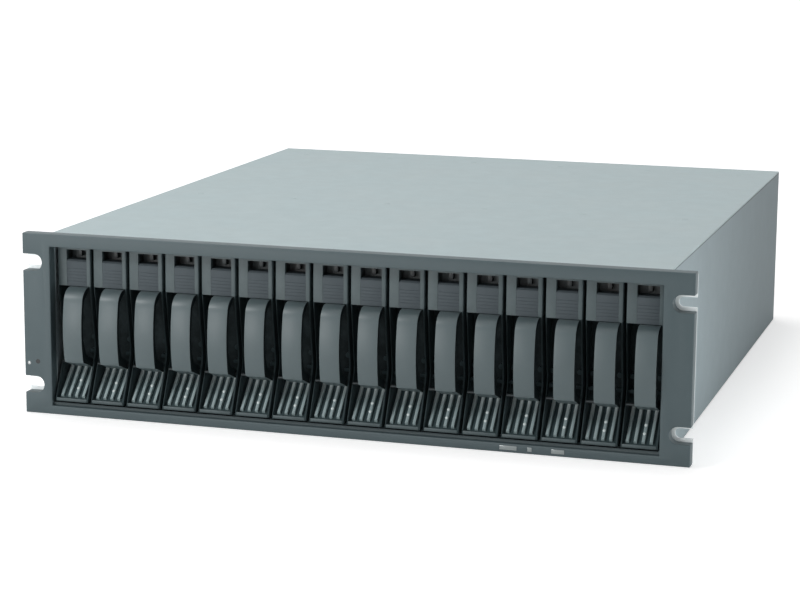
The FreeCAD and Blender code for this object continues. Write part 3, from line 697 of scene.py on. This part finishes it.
def carrier_ends(sizes):
    """Z of the lower and the upper end of a carrier's front, in the bezel's opening."""
    low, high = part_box("front_bezel")
    return low.z + sizes.bottom_bar + sizes.end_gap, high.z - sizes.top_bar - sizes.end_gap


# ---- operators: the front ----------------------------------------------------------------------
class ShelfPiece:
    """What the operators share."""
    bl_options = {"REGISTER", "UNDO"}

    def execute(self, context):
        self.build(context.scene.shelf_sizes)
        return {"FINISHED"}


class SHELF_OT_bezel(ShelfPiece, bpy.types.Operator):
    """Moulded frame round the carriers with notched ears, stepped lower bar and windows"""
    bl_idname = "shelf.bezel"
    bl_label = "Front bezel"

    def build(self, sizes):
        low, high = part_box("front_bezel")
        half_opening, sill = high.x - sizes.side_bar, low.z + sizes.bottom_bar
        lintel, ledge = high.z - sizes.top_bar, sill - sizes.ledge_height
        notch_x = high.x - sizes.notch_inset_x - sizes.notch_radius
        notch_z = high.z - sizes.notch_inset_z
        bm = bmesh.new()
        plane = bmesh.ops.create_grid(bm, x_segments=1, y_segments=1, size=1.0)["verts"]
        bmesh.ops.transform(bm, verts=plane, matrix=Matrix.Translation((0, low.y, 0))
                            @ Matrix.Diagonal((high.x, 1, high.z, 1))
                            @ Matrix.Rotation(math.pi / 2, 4, "X"))
        cuts = [(0, side * value) for side in (-1, 1) for value in (half_opening, notch_x)]
        cuts += [(2, value) for value in (sill, lintel, ledge)]
        cuts += [(2, side * notch_z + edge * sizes.notch_radius)
                 for side in (-1, 1) for edge in (-1, 1)]
        for axis, value in cuts:
            bmesh.ops.bisect_plane(bm, geom=bm.verts[:] + bm.edges[:] + bm.faces[:],
                                   plane_co=AXES[axis] * value, plane_no=AXES[axis])

        def open_at(spot):
            in_opening = abs(spot.x) < half_opening and sill < spot.z < lintel
            near_notch = abs(abs(spot.z) - notch_z) < sizes.notch_radius
            return in_opening or (abs(spot.x) > notch_x and near_notch)

        def on_step(spot):
            return (abs(spot.y - low.y) < TOUCH and abs(spot.x) < half_opening
                    and ledge < spot.z < sill)

        gone = [face for face in bm.faces if open_at(face.calc_center_median())]
        bmesh.ops.delete(bm, geom=gone, context="FACES")
        draw_out(bm, bm.faces[:], (0, high.y - low.y, 0))
        step = [face for face in bm.faces if on_step(face.calc_center_median())]
        draw_out(bm, step, (0, sizes.ledge_setback, 0), False)
        bmesh.ops.delete(bm, geom=step, context="FACES")
        bmesh.ops.dissolve_limit(bm, angle_limit=0.01, verts=bm.verts[:], edges=bm.edges[:])
        bmesh.ops.recalc_face_normals(bm, faces=bm.faces[:])
        ends = [edge for edge in bm.edges if highest(edge, 1) - lowest(edge, 1) > 0.001
                and abs(abs(edge.verts[0].co.x) - notch_x) < TOUCH]
        bmesh.ops.bevel(bm, geom=ends, offset=sizes.notch_radius * 0.98, segments=10,
                        profile=0.5, affect="EDGES", clamp_overlap=True, material=-1)
        soften(bm, bm.faces, sizes.soft_edge * 2, 3,
               lambda edge: lowest(edge, 1) < low.y + sizes.ledge_setback + 1e-4)
        piece("bezel_frame", mesh_of(bm, "bezel_frame"), ["bezel_texture_plastic"], "enclosure",
              ("front_bezel",))
        self.windows(sizes, low.y, sill - sizes.window_drop)
        self.ear_marks(low.y)

    def windows(self, sizes, front, level):
        """Status windows let into the lower bar, each with a thin frame."""
        tall, rim, back = sizes.window_height / 2, sizes.window_rim, front + 0.001
        bm = bmesh.new()
        for middle, width in WINDOWS:
            wide = width / 2
            block(bm, (middle - wide - rim, front - 0.00002, level - tall - rim),
                  (middle + wide + rim, back, level + tall + rim), 1, 0.0003)
            block(bm, (middle - wide, front - 0.00012, level - tall),
                  (middle + wide, back, level + tall), 0, 0.0001)
        piece("status_windows", mesh_of(bm, "status_windows"), ["window_lens", "latch_plastic"],
              "enclosure")

    def ear_marks(self, front):
        """A black disc as painted shade in the mouth of a small hole in the left ear, and a bright
        rivet beside it.
        """
        bm = bmesh.new()
        # Painted shade: a black disc on the ear stands for the dark inside of the hole.
        tube(bm, (-0.2310, front - 0.00003, -0.0275), 1, 0.0017, 0.0006, slot=1)
        dome(bm, (-0.2378, front + SEAT, -0.0290), (0, -1, 0), 0.0013, 0.0006)
        piece("ear_marks", mesh_of(bm, "ear_marks"), ["zinc_plate", "black_plastic"],
              "enclosure")


def ramp_outline(sizes, bottom, top):
    """Y and Z down the floor of a carrier's well: upright, bend, slope and the slope's end."""
    turn = sizes.ramp_bend * math.sin(math.radians(45))
    bend_y = sizes.pocket_depth - sizes.ramp_bend + turn
    bend_z = bottom + sizes.ramp_rise - turn
    foot = (bend_y + bottom + sizes.foot - bend_z, bottom + sizes.foot)
    start = (sizes.pocket_depth, top)
    sharp = (sizes.pocket_depth, bend_z + sizes.pocket_depth - bend_y)
    return [start] + corner(start, sharp, foot, sizes.ramp_bend, BEND_STEPS) + [foot]


class SHELF_OT_carrier_fronts(ShelfPiece, bpy.types.Operator):
    """Carrier fronts: latch well, side walls, well behind the handle, ribbed ramp and lamps"""
    bl_idname = "shelf.carrier_fronts"
    bl_label = "Carrier fronts"

    def build(self, sizes):
        front = bay_box("drive_carrier_01")[0].y
        half = bay_box("drive_carrier_01")[1].x
        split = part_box("carrier_latch_01")[0].z
        bottom, top = carrier_ends(sizes)
        inner = half - sizes.side_wall
        lamp_x = (sizes.strip - sizes.rim) / 2
        floor = ramp_outline(sizes, bottom, split)
        bm = bmesh.new()
        self.upper(bm, sizes, half, split, top, lamp_x)
        self.walls(bm, sizes, half, inner, front, bottom, split)
        self.ramp(bm, sizes, floor, front, bottom, inner)
        self.ribs(bm, sizes, floor, bottom, inner, lamp_x)
        self.well_details(bm, sizes, bottom, inner)
        self.lamps(bm, sizes, floor[-1], bottom, lamp_x)
        in_each_bay("carrier_front_", mesh_of(bm, "carrier_front"),
                    ["carrier_moulding_plastic", "carrier_ramp_plastic", "lamp_lens",
                     "blackened_steel", "carrier_rib_plastic", "carrier_wall_plastic"],
                    "drive_carrier_", replaced=True)

    def upper(self, bm, sizes, half, split, top, lamp_x):
        """Frame round the latch's well, the well's back wall, and the catch at its top."""
        edge_left, left, right = sizes.face_inset - half, sizes.strip - half, half - sizes.rim
        well_top = top - sizes.well_margin
        outline = [(edge_left, split), (edge_left, top), (half, top), (half, split),
                   (right, split), (right, well_top), (left, well_top), (left, split)]
        soften(bm, prism(bm, outline, 1, 0.0, sizes.well_depth), sizes.soft_edge * 2, 3,
               lambda edge: highest(edge, 1) < 1e-4
               and min(abs(vert.co.x) for vert in edge.verts) > -edge_left - 1e-4)
        block(bm, (edge_left, sizes.well_depth, split), (half, sizes.front_depth, top))
        block(bm, (lamp_x - 0.0016, 0.006, well_top - 0.0055),
              (lamp_x + 0.0016, sizes.well_depth + 0.0002, well_top), 0, 0.0005)

    def walls(self, bm, sizes, half, inner, front, bottom, split):
        """Side walls, whose front edge runs back beside the handle's foot."""
        depth, over = sizes.front_depth, split + 0.0005
        foot = (front, bottom + sizes.foot)
        scoop = corner((0, split), (sizes.scoop_reach, bottom + sizes.scoop_rise), foot,
                       sizes.scoop_bend, BEND_STEPS)
        outline = [(0.0, over), *scoop, foot, (front, bottom), (depth, bottom), (depth, over)]
        for ends in ((sizes.face_inset - half, -inner), (inner, half)):
            soften(bm, prism(bm, outline, 0, *ends, 5), 0.0003, 2,
                   lambda edge: edge.calc_length() < 0.07 and lowest(edge, 1) < depth - 1e-4
                   and lowest(edge, 2) < split)

    def ramp(self, bm, sizes, floor, front, bottom, inner):
        """The floor between the ribs, with a groove at its foot, and the lip before it."""
        depth, split = sizes.front_depth, floor[0][1]
        lip, groove = front + sizes.lip_width, bottom + 0.0007
        sunk = floor[:BEND_MIDDLE] + [(y, z - sizes.ramp_sink)
                                      for y, z in floor[BEND_MIDDLE:-1]]
        prism(bm, sunk + [(lip + 0.001, groove), (lip, groove), (lip, bottom), (depth, bottom),
                          (depth, split)], 0, -inner, inner, 1)
        block(bm, (-inner, front, bottom), (inner, lip, bottom + sizes.foot + sizes.lip_rise), 0,
              0.0003)

    def ribs(self, bm, sizes, floor, bottom, inner, lamp_x):
        """Ribs of the ramp, one under the lamps, cut off above the groove behind the lip."""
        end_y, end_z = floor[-1]
        cut, root = bottom + sizes.rib_end, bottom + 0.0005
        tip, undercut = end_y + cut - end_z, 0.0012
        outline = floor[BEND_MIDDLE:-1] + [(tip, cut), (tip + undercut, root),
                                           (floor[BEND_MIDDLE][0], root)]
        for step in range(-int((lamp_x + inner) / sizes.rib_pitch),
                          int((inner - lamp_x) / sizes.rib_pitch) + 1):
            x = lamp_x + step * sizes.rib_pitch
            half = min(sizes.rib_width / 2, inner - abs(x))
            soften(bm, prism(bm, outline, 0, x - half, x + half, 4), 0.0004, 2,
                   lambda edge: lowest(edge, 2) > root + 0.001)

    def well_details(self, bm, sizes, bottom, inner):
        """Hinge bar, and bosses and stops at both sides of the well's floor."""
        floor, inset = sizes.pocket_depth, 0.0022
        tube(bm, (-inner, sizes.hinge_depth, bottom + sizes.hinge_rise), 0,
             sizes.hinge_radius * 0.97, 2 * inner, 16, 3)
        for x in (inset - inner, inner - inset):
            tube(bm, (x, floor - 0.0045, bottom + 0.0445), 1, 0.0018, 0.005, 16, 5, 0.0021,
                 0.0003)
            block(bm, (x - 0.0019, floor - 0.007, bottom + 0.0335),
                  (x + 0.0019, floor + 0.0005, bottom + 0.036), 5, 0.0004)

    def lamps(self, bm, sizes, foot, bottom, lamp_x):
        """Two domed lamps in the middle rib, square to the slope."""
        for rise in (sizes.lamp_low, sizes.lamp_high):
            y, z = foot[0] + bottom + rise - foot[1], bottom + rise
            dome(bm, (lamp_x, y - 2 * SEAT, z + 2 * SEAT), (0, -1, 1), sizes.lamp_radius,
                 0.0008, slot=2)


class SHELF_OT_latches(ShelfPiece, bpy.types.Operator):
    """Sliding latch blocks with grip lines and side tongues"""
    bl_idname = "shelf.latches"
    bl_label = "Latches"

    def build(self, sizes):
        low, high = bay_box("carrier_latch_01")
        left, right = low.x + sizes.tongue, high.x - sizes.tongue
        groove, slope, chamfer = 0.00022, 0.0002, 0.0012
        outline = [(high.y, low.z), (low.y, low.z)]
        for line in range(int((high.z - low.z - 0.006) / sizes.grip_pitch)):
            level = low.z + 0.0035 + line * sizes.grip_pitch
            outline += [(low.y, level - slope * 1.5), (low.y + groove, level - slope / 2),
                        (low.y + groove, level + slope / 2), (low.y, level + slope * 1.5)]
        outline += [(low.y, high.z - chamfer), (low.y + chamfer, high.z), (high.y, high.z)]
        bm = bmesh.new()
        soften(bm, prism(bm, outline, 0, left, right), 0.0003, 2,
               lambda edge: upright_to_x(edge) and highest(edge, 1) < high.y - 1e-5)
        for ends in ((low.x, left + 0.0002), (right - 0.0002, high.x)):
            block(bm, (ends[0], 0.0055, low.z), (ends[1], 0.0075, high.z), 0, 0.0002)
        in_each_bay("latch_block_", mesh_of(bm, "latch_block"), ["latch_plastic"],
                    "carrier_latch_", replaced=True)


class SHELF_OT_handles(ShelfPiece, bpy.types.Operator):
    """Bowed pull handles with rounded edges, hooked over their hinge bars"""
    bl_idname = "shelf.handles"
    bl_label = "Handles"

    def build(self, sizes):
        low, high = bay_box("carrier_handle_01")
        y, z = sizes.hinge_depth, carrier_ends(sizes)[0] + sizes.hinge_rise
        skin = sizes.skin
        saddle = sizes.hinge_radius + 0.00006
        hook = saddle + sizes.hook
        foot, top = z + 0.002, high.z
        belly, flat = foot + 0.0233, 0.0055
        shoulder, chin = (-0.011, top - 0.0072), (-0.0118, foot + skin)
        back = low.y + skin
        outline = [(0.0, top), *arc((0.0, top), (-0.0068, top - 0.0019), shoulder, 8),
                   *arc(shoulder, (low.y, belly), chin, 14),
                   (chin[0] + skin * 0.3, foot + skin * 0.25), (chin[0] + skin, foot),
                   (y, z - hook), (high.y, z - hook), (high.y, z - saddle), (y, z - saddle),
                   *arc((y, z - saddle), (y - saddle, z), (y, z + saddle), 8),
                   (high.y, z + saddle), (high.y, z + hook),
                   (chin[0] + 2 * skin, foot + 2 * skin), (back, belly - flat),
                   (back, belly + flat), (shoulder[0] + skin, shoulder[1] - skin / 2),
                   (0.0, top - skin)]
        bm = bmesh.new()
        soften(bm, prism(bm, outline, 0, low.x, high.x), 0.0006, 3,
               lambda edge: upright_to_x(edge) and highest(edge, 1) < 0.0005)
        # Painted shade: the handle's flat sides take the dark well tone, standing for the shade
        # along them.
        in_slot([face for face in bm.faces if abs(face.normal.x) > 0.9], 1)
        in_each_bay("pull_handle_", mesh_of(bm, "pull_handle"),
                    ["handle_satin_plastic", "handle_side_plastic"], "carrier_handle_",
                    replaced=True)


class SHELF_OT_sleds(ShelfPiece, bpy.types.Operator):
    """Drive sleds: dimpled rails, the disk drive, and the adapter board with its plug"""
    bl_idname = "shelf.sleds"
    bl_label = "Drive sleds"

    def build(self, sizes):
        side, top, start = sizes.drive_thickness / 2, sizes.drive_height / 2, sizes.drive_start
        end = start + sizes.drive_length
        board_end = end + sizes.adapter_depth
        bm = bmesh.new()
        self.rails(bm, sizes, side, top, board_end)
        self.drive(bm, side, top, start, end)
        block(bm, (-0.004, end, -top), (-0.0022, board_end, top), 1, 0.0003)
        block(bm, (-0.004, board_end - 0.004, -0.021), (0.004, board_end + 0.007, 0.021), 2,
              0.0005)
        in_each_bay("drive_sled_", mesh_of(bm, "drive_sled"),
                    ["drive_casting", "small_board_laminate", "black_plastic", "zinc_plate"],
                    "drive_carrier_")

    def rails(self, bm, sizes, side, top, board_end):
        """Upper and lower rail, each folded over the drive and dimpled at its screws."""
        half = bay_box("drive_carrier_01")[1].x
        for way in (-1, 1):
            block(bm, (-half, sizes.front_depth, way * (top + 0.0002)),
                  (half, board_end, way * (top + 0.002)), 3, 0.0004)
            for x in (-side - 0.0001, side + 0.0001):
                block(bm, (x - 0.00015, sizes.front_depth - 0.0005, way * (top - 0.009)),
                      (x + 0.00015, board_end, way * (top + 0.001)), 3, 0.0001)
            for y in (0.045, 0.105, 0.16):
                for x in (-1, 1):
                    tube(bm, (x * (side + 0.0002), y, way * (top - 0.005)), 0, 0.0022,
                         x * 0.0002, 16, 3)

    def drive(self, bm, side, top, start, end):
        """Cast housing, cover with its disc and screws, and the board with its chips."""
        cover, disc, rim = side - 0.0006, start + 0.055, 0.003
        block(bm, (0.0005 - side, start, -top), (side - 0.001, end, top), 0, 0.0012, 3)
        block(bm, (side - 0.0012, start + rim, rim - top),
              (side - 0.0001, end - 4 * rim, top - rim), 3, 0.0006)
        tube(bm, (cover, disc, 0), 0, 0.041, 0.0005, 64, 3, round_by=0.0004)
        tube(bm, (cover, disc, 0), 0, 0.011, 0.0006, 32, 0, round_by=0.0002)
        for y, z in ((start + 0.008, 0.044), (end - 0.018, 0.044), (start + 0.07, 0.0445)):
            for way in (-1, 1):
                tube(bm, (cover, y, way * z), 0, 0.0024, 0.0006, 16)
        block(bm, (0.0001 - side, start + 0.03, 0.006 - top),
              (0.0008 - side, end - 0.003, top - 0.006), 1, 0.0002)
        for y, z, deep, tall in ((0.1, 0.012, 0.008, 0.008), (0.1, -0.022, 0.011, 0.006),
                                 (0.135, 0.02, 0.005, 0.01)):
            block(bm, (-side, y - deep, z - tall), (0.0006 - side, y + deep, z + tall), 2, 0.0001)


# ---- operators: the body -----------------------------------------------------------------------
class SHELF_OT_body(ShelfPiece, bpy.types.Operator):
    """Finishes of the solids that are shown as they are, and the rivets of the lid"""
    bl_idname = "shelf.body"
    bl_label = "Body and lid"

    def build(self, sizes):
        finishes = {"top_cover": "cover_powder_coat", "chassis": "body_powder_coat",
                    "midplane": "board_laminate"}
        for node in ("power_supply_left", "power_supply_right", *CONTROLLERS):
            finishes[node] = "module_sheet"
        for node, label in finishes.items():
            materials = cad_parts[node].data.materials
            materials.clear()
            materials.append(material(label))
        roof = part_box("top_cover")[1].z
        bm = bmesh.new()
        for y in (0.212, 0.465):
            for x in (0.039, 0.116, 0.194):
                for side in (-1, 1):
                    dome(bm, (side * x, y, roof - SEAT), (0, 0, 1), sizes.rivet_radius,
                         sizes.rivet_rise)
        piece("lid_rivets", mesh_of(bm, "lid_rivets"), ["cover_powder_coat"], "enclosure")


# ---- operators: the rear -----------------------------------------------------------------------
def module_face(sizes):
    """Y of the rear modules' face plates."""
    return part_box("top_cover")[1].y - sizes.module_inset


def frame_round(bm, middle, face, width, height, wall, deep, slot=0):
    """A rim on the face that looks along +Y, and a lining that runs into the hole."""
    for side in (-1, 1):
        for grow, y0, y1 in ((wall, face - 0.0002, face + 0.0009), (0.0, face - deep, face)):
            wide, tall = width / 2 + grow, height / 2 + grow - wall
            inner = wide - wall
            for low, high in (
                    ((middle.x + side * inner, y0, middle.z - tall),
                     (middle.x + side * wide, y1, middle.z + tall)),
                    ((middle.x - wide, y0, middle.z + side * tall),
                     (middle.x + wide, y1, middle.z + side * (tall + wall)))):
                block(bm, low, high, slot, 0.0002)


class SHELF_OT_fans(ShelfPiece, bpy.types.Operator):
    """Fan rotors of the power supplies: a rounded hub with five twisted blades"""
    bl_idname = "shelf.fans"
    bl_label = "Fan rotors"
    blades = 5

    def build(self, sizes):
        for side, way in SIDES.items():
            node, name = "supply_fan_" + side, "fan_rotor_" + side
            low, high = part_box(node)
            centre = Vector((middle_x("power_supply_" + side), *((low + high) / 2).yz))
            bm = bmesh.new()
            tube(bm, (centre.x, low.y, centre.z), 1, sizes.hub_radius, high.y - low.y, 48,
                 round_by=0.002, round_steps=4)
            tube(bm, (centre.x, high.y - 0.0004, centre.z), 1, sizes.hub_radius * 0.6, 0.0003,
                 32, 1, round_by=0.0001)
            for number in range(self.blades):
                self.blade(bm, sizes, centre, 2 * math.pi * number / self.blades, way)
            piece(name, mesh_of(bm, name), ["black_plastic", "blackened_steel"], node,
                  (node,))

    def blade(self, bm, sizes, centre, turn, way):
        """One blade: a sheet that is steeper at its root, cambered, and then made solid."""
        root, half_chord = sizes.hub_radius * 0.9, sizes.blade_chord / 2
        before = set(bm.faces)
        sheet = bmesh.ops.create_grid(bm, x_segments=8, y_segments=8, size=1.0)["verts"]
        for vert in sheet:
            across, share = vert.co.x, (vert.co.y + 1) / 2
            out = root + (sizes.blade_reach - root) * share
            pitch = math.radians(32 + 20 * share)
            lead = (across * half_chord * math.sin(pitch)
                    + sizes.blade_camber * (1 - across * across))
            angle = turn + way * math.atan2(lead, out)
            vert.co = centre + Vector((out * math.cos(angle), across * half_chord
                                       * math.cos(pitch), out * math.sin(angle)))
        faces = [face for face in bm.faces if face not in before]
        bmesh.ops.solidify(bm, geom=faces, thickness=sizes.blade_skin)
        bmesh.ops.recalc_face_normals(bm, faces=[face for face in bm.faces
                                                 if face not in before])


class SHELF_OT_levers(ShelfPiece, bpy.types.Operator):
    """Release levers of the power supplies, with rounded edges and a ribbed finger pad"""
    bl_idname = "shelf.levers"
    bl_label = "Release levers"

    def build(self, sizes):
        hook, skin = sizes.lever_hook, sizes.lever_skin
        saddle = hook - sizes.hook
        for side in SIDES:
            node, name = "supply_lever_" + side, "release_lever_" + side
            low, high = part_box(node)
            level, inner = low.z + hook, high.y - skin
            outline = [(low.y, level - saddle),
                       *arc((low.y, level - saddle), (low.y + saddle, level),
                            (low.y, level + saddle), 10),
                       (low.y, level + hook), (inner, level + 3 * hook),
                       (inner, high.z - skin), (low.y, high.z - skin), (low.y, high.z),
                       (high.y, high.z), (high.y, level + 2 * hook),
                       (low.y + hook, level - hook / 2), (low.y + hook / 2, level - hook),
                       (low.y, level - hook)]
            bm = bmesh.new()
            soften(bm, prism(bm, outline, 0, low.x, high.x), 0.0007, 3,
                   lambda edge: highest(edge, 1) > low.y + 0.003
                   and lowest(edge, 2) > level + saddle)
            for line in range(6):
                z = high.z - 0.010 - line * sizes.pad_pitch
                block(bm, (low.x + 0.002, high.y - 0.0005, z),
                      (high.x - 0.002, high.y - SEAT, z + 0.001), 0, 0.0002)
            piece(name, mesh_of(bm, name), ["black_plastic"], node, (node,))


class SHELF_OT_module_faces(ShelfPiece, bpy.types.Operator):
    """Frames of the mains inlets and cable ports, screws and lamps on the rear modules"""
    bl_idname = "shelf.module_faces"
    bl_label = "Rear module faces"

    def build(self, sizes):
        for side, way in SIDES.items():
            self.supply(sizes, "power_supply_" + side, "supply_face_" + side, way)
        for node, way in CONTROLLERS.items():
            self.controller(sizes, node, node + "_face", way)

    def supply(self, sizes, node, name, way):
        """Inlet frame with its blades, corner screws and two lamps."""
        low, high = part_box(node)
        face = module_face(sizes)
        seat = face - SEAT
        middle = Vector((middle_x(node), 0, low.z + sizes.inlet_rise))
        bm = bmesh.new()
        frame_round(bm, middle, face, sizes.inlet_width, sizes.inlet_height, sizes.frame_width,
                    0.016)
        for step, rise in ((-0.007, -0.002), (0.0, 0.003), (0.007, -0.002)):
            x, z = middle.x + step, middle.z + rise
            block(bm, (x - 0.00105, face - 0.0175, z - 0.00255),
                  (x + 0.00105, face - 0.0049, z + 0.00255), 1, 0.0002)
        screw_x, inset = 0.0395, 0.0045
        for across, z in ((-screw_x, high.z - inset), (screw_x, high.z - inset),
                          (-way * screw_x, low.z + inset)):
            dome(bm, (middle.x + across, seat, z), (0, 1, 0), 0.0026, 0.0011, 20, 1)
        for across in (0.030, 0.036):
            dome(bm, (middle.x - way * across, seat, middle.z + 0.004), (0, 1, 0), 0.0014,
                 0.0007, 16, 2)
        piece(name, mesh_of(bm, name), ["black_plastic", "zinc_plate", "module_lens"], node)

    def controller(self, sizes, node, name, way):
        """Port frames with their tongues, two captive screws and a row of lamps."""
        low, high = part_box(node)
        face, level = module_face(sizes), (low.z + high.z) / 2
        radius, end = sizes.knob_radius, face + sizes.knob_reach
        bm = bmesh.new()
        for x in (-0.092 * way, -0.066 * way):
            frame_round(bm, Vector((x, 0, level)), face, sizes.port_width, sizes.port_height,
                        sizes.frame_width * 0.7, 0.008, 1)
            block(bm, (x - 0.0052, face - 0.018, level - 0.0009),
                  (x + 0.0052, face - 0.003, level + 0.0009), 0, 0.0002)
        for x in (low.x + 0.0075, high.x - 0.0075):
            tube(bm, (x, face - 2 * SEAT, level), 1, radius * 0.7, 0.002, 24, 1, round_by=0.0002)
            tube(bm, (x, face + 0.0015, level), 1, radius, sizes.knob_reach - 0.0015, 20, 1,
                 round_by=0.0006)
            block(bm, (x - 0.0034, end - 0.0004, level - 0.0004),
                  (x + 0.0034, end + SEAT, level + 0.0004))
        for step in range(4):
            dome(bm, (way * (0.058 + step * 0.006), face - SEAT, level + way * 0.012),
                 (0, 1, 0), 0.0013, 0.0006, 16, 2)
        piece(name, mesh_of(bm, name), ["black_plastic", "zinc_plate", "module_lens"], node)


# ---- operators: the stage ----------------------------------------------------------------------
# Each light: its name, place and width in metres, and power in watts.
LIGHTS = (("key_light", (-0.95, -0.85, 0.95), 0.5, 8.6),
          ("front_light", (-0.7, -1.3, 0.03), 0.4, 5.2),
          ("top_light", (-0.5, 0.6, 2.8), 1.6, 38.0),
          ("side_light", (0.5, -0.02, -0.03), 0.15, 0.42))


def seen_directly(tree):
    """1 where the camera looks at a surface, also through glass or in a reflection."""
    rays = add(tree, "ShaderNodeLightPath").outputs
    direct = maths(tree, "MAXIMUM", rays["Is Camera Ray"], rays["Is Glossy Ray"])
    return maths(tree, "MAXIMUM", direct, rays["Is Transmission Ray"])


class SHELF_OT_stage(ShelfPiece, bpy.types.Operator):
    """Pale floor, soft studio lights and the camera"""
    bl_idname = "shelf.stage"
    bl_label = "Stage"

    def build(self, sizes):
        self.floor()
        self.world()
        for settings in LIGHTS:
            self.light(*settings)
        self.camera()
        bpy.context.scene.view_settings.view_transform = "Standard"

    def floor(self):
        """A wide pale floor that keeps the shadow."""
        bm = bmesh.new()
        made = bmesh.ops.create_grid(bm, x_segments=2, y_segments=2, size=30.0)["verts"]
        bmesh.ops.translate(bm, verts=made, vec=(0, 0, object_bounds()[0].z - 0.0002))
        mesh = bpy.data.meshes.new("floor")
        bm.to_mesh(mesh)
        bm.free()
        pale, tree, shader = empty_material("floor_pale")
        rough = span(tree, noise(tree, object_place(tree), 3.0), 0.0, 1.0, 0.75, 0.9)
        glow = maths(tree, "MULTIPLY", seen_directly(tree), along(tree, "Y", 0.4, 3.0, 0.58, 1.0))
        tree.links.new(rough, shader.inputs["Roughness"])
        tree.links.new(glow, shader.inputs["Emission Strength"])
        shader.inputs["Base Color"].default_value = colour("floor")
        shader.inputs["Specular IOR Level"].default_value = 0.1
        shader.inputs["Emission Color"].default_value = (1, 1, 1, 1)
        mesh.materials.append(pale)
        floor = shown("floor", mesh)
        floor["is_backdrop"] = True

    def world(self):
        """Even light all round, white where the camera sees it."""
        world = bpy.data.worlds.new("studio")
        world.use_nodes = True
        bpy.context.scene.world = world
        tree = world.node_tree
        tree.nodes.clear()
        strength = maths(tree, "MAXIMUM", seen_directly(tree), 0.14)
        sky = add(tree, "ShaderNodeBackground", {"Color": (1, 1, 1, 1), "Strength": strength})
        add(tree, "ShaderNodeOutputWorld", {"Surface": sky.outputs[0]})

    def light(self, name, place, size, power):
        """A soft square light that looks at the shelf."""
        data = bpy.data.lights.new(name, "AREA")
        data.shape, data.size, data.energy = "SQUARE", size, power
        lamp = shown(name, data)
        lamp.location = place
        way = Vector((0, 0.2, 0)) - Vector(place)
        lamp.rotation_euler = way.to_track_quat("-Z", "Y").to_euler()

    def camera(self):
        """The camera before the shelf's right front, a little above it."""
        azimuth, elevation, roll = (math.radians(angle) for angle in (16.97, 11.092, 0.432))
        target, distance = Vector((0.03984, -0.010, 0.03477)), 1.5831
        back = Vector((math.sin(azimuth) * math.cos(elevation),
                       -math.cos(azimuth) * math.cos(elevation), math.sin(elevation)))
        data = bpy.data.cameras.new("camera")
        data.sensor_width, data.lens = 36.0, 105.03
        data.clip_start, data.clip_end = 0.05, 100.0
        camera = shown("camera", data)
        camera.location = target + back * distance
        camera.rotation_mode = "QUATERNION"
        camera.rotation_quaternion = ((-back).to_track_quat("-Z", "Y")
                                      @ Matrix.Rotation(roll, 3, "Z").to_quaternion())
        bpy.context.scene.camera = camera


OPERATORS = (SHELF_OT_body, SHELF_OT_bezel, SHELF_OT_carrier_fronts, SHELF_OT_latches,
             SHELF_OT_handles, SHELF_OT_sleds, SHELF_OT_fans, SHELF_OT_levers,
             SHELF_OT_module_faces, SHELF_OT_stage)


class SHELF_PT_pieces(bpy.types.Panel):
    """Pieces, sizes and colours of the disk shelf"""
    bl_idname = "SHELF_PT_pieces"
    bl_label = "Disk shelf"
    bl_space_type = "VIEW_3D"
    bl_region_type = "UI"
    bl_category = "Disk shelf"

    def draw(self, context):
        for operator in OPERATORS:
            self.layout.operator(operator.bl_idname)
        for group in (context.scene.shelf_sizes, context.scene.shelf_colours):
            box = self.layout.box()
            for name in group.bl_rna.properties.keys():
                if name not in ("rna_type", "name"):
                    box.prop(group, name)


CLASSES = (ShelfSizes, ShelfColours) + OPERATORS + (SHELF_PT_pieces,)


def register():
    """Register the add-on's classes and its settings."""
    for cls in CLASSES:
        bpy.utils.register_class(cls)
    bpy.types.Scene.shelf_sizes = PointerProperty(type=ShelfSizes)
    bpy.types.Scene.shelf_colours = PointerProperty(type=ShelfColours)


def unregister():
    """Take the add-on's classes and settings out again."""
    del bpy.types.Scene.shelf_colours
    del bpy.types.Scene.shelf_sizes
    for cls in reversed(CLASSES):
        bpy.utils.unregister_class(cls)


def main():
    """Build every piece in order."""
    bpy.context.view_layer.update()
    register()
    for operator in OPERATORS:
        area, name = operator.bl_idname.split(".")
        getattr(getattr(bpy.ops, area), name)()


if __name__ == "__main__":
    main()
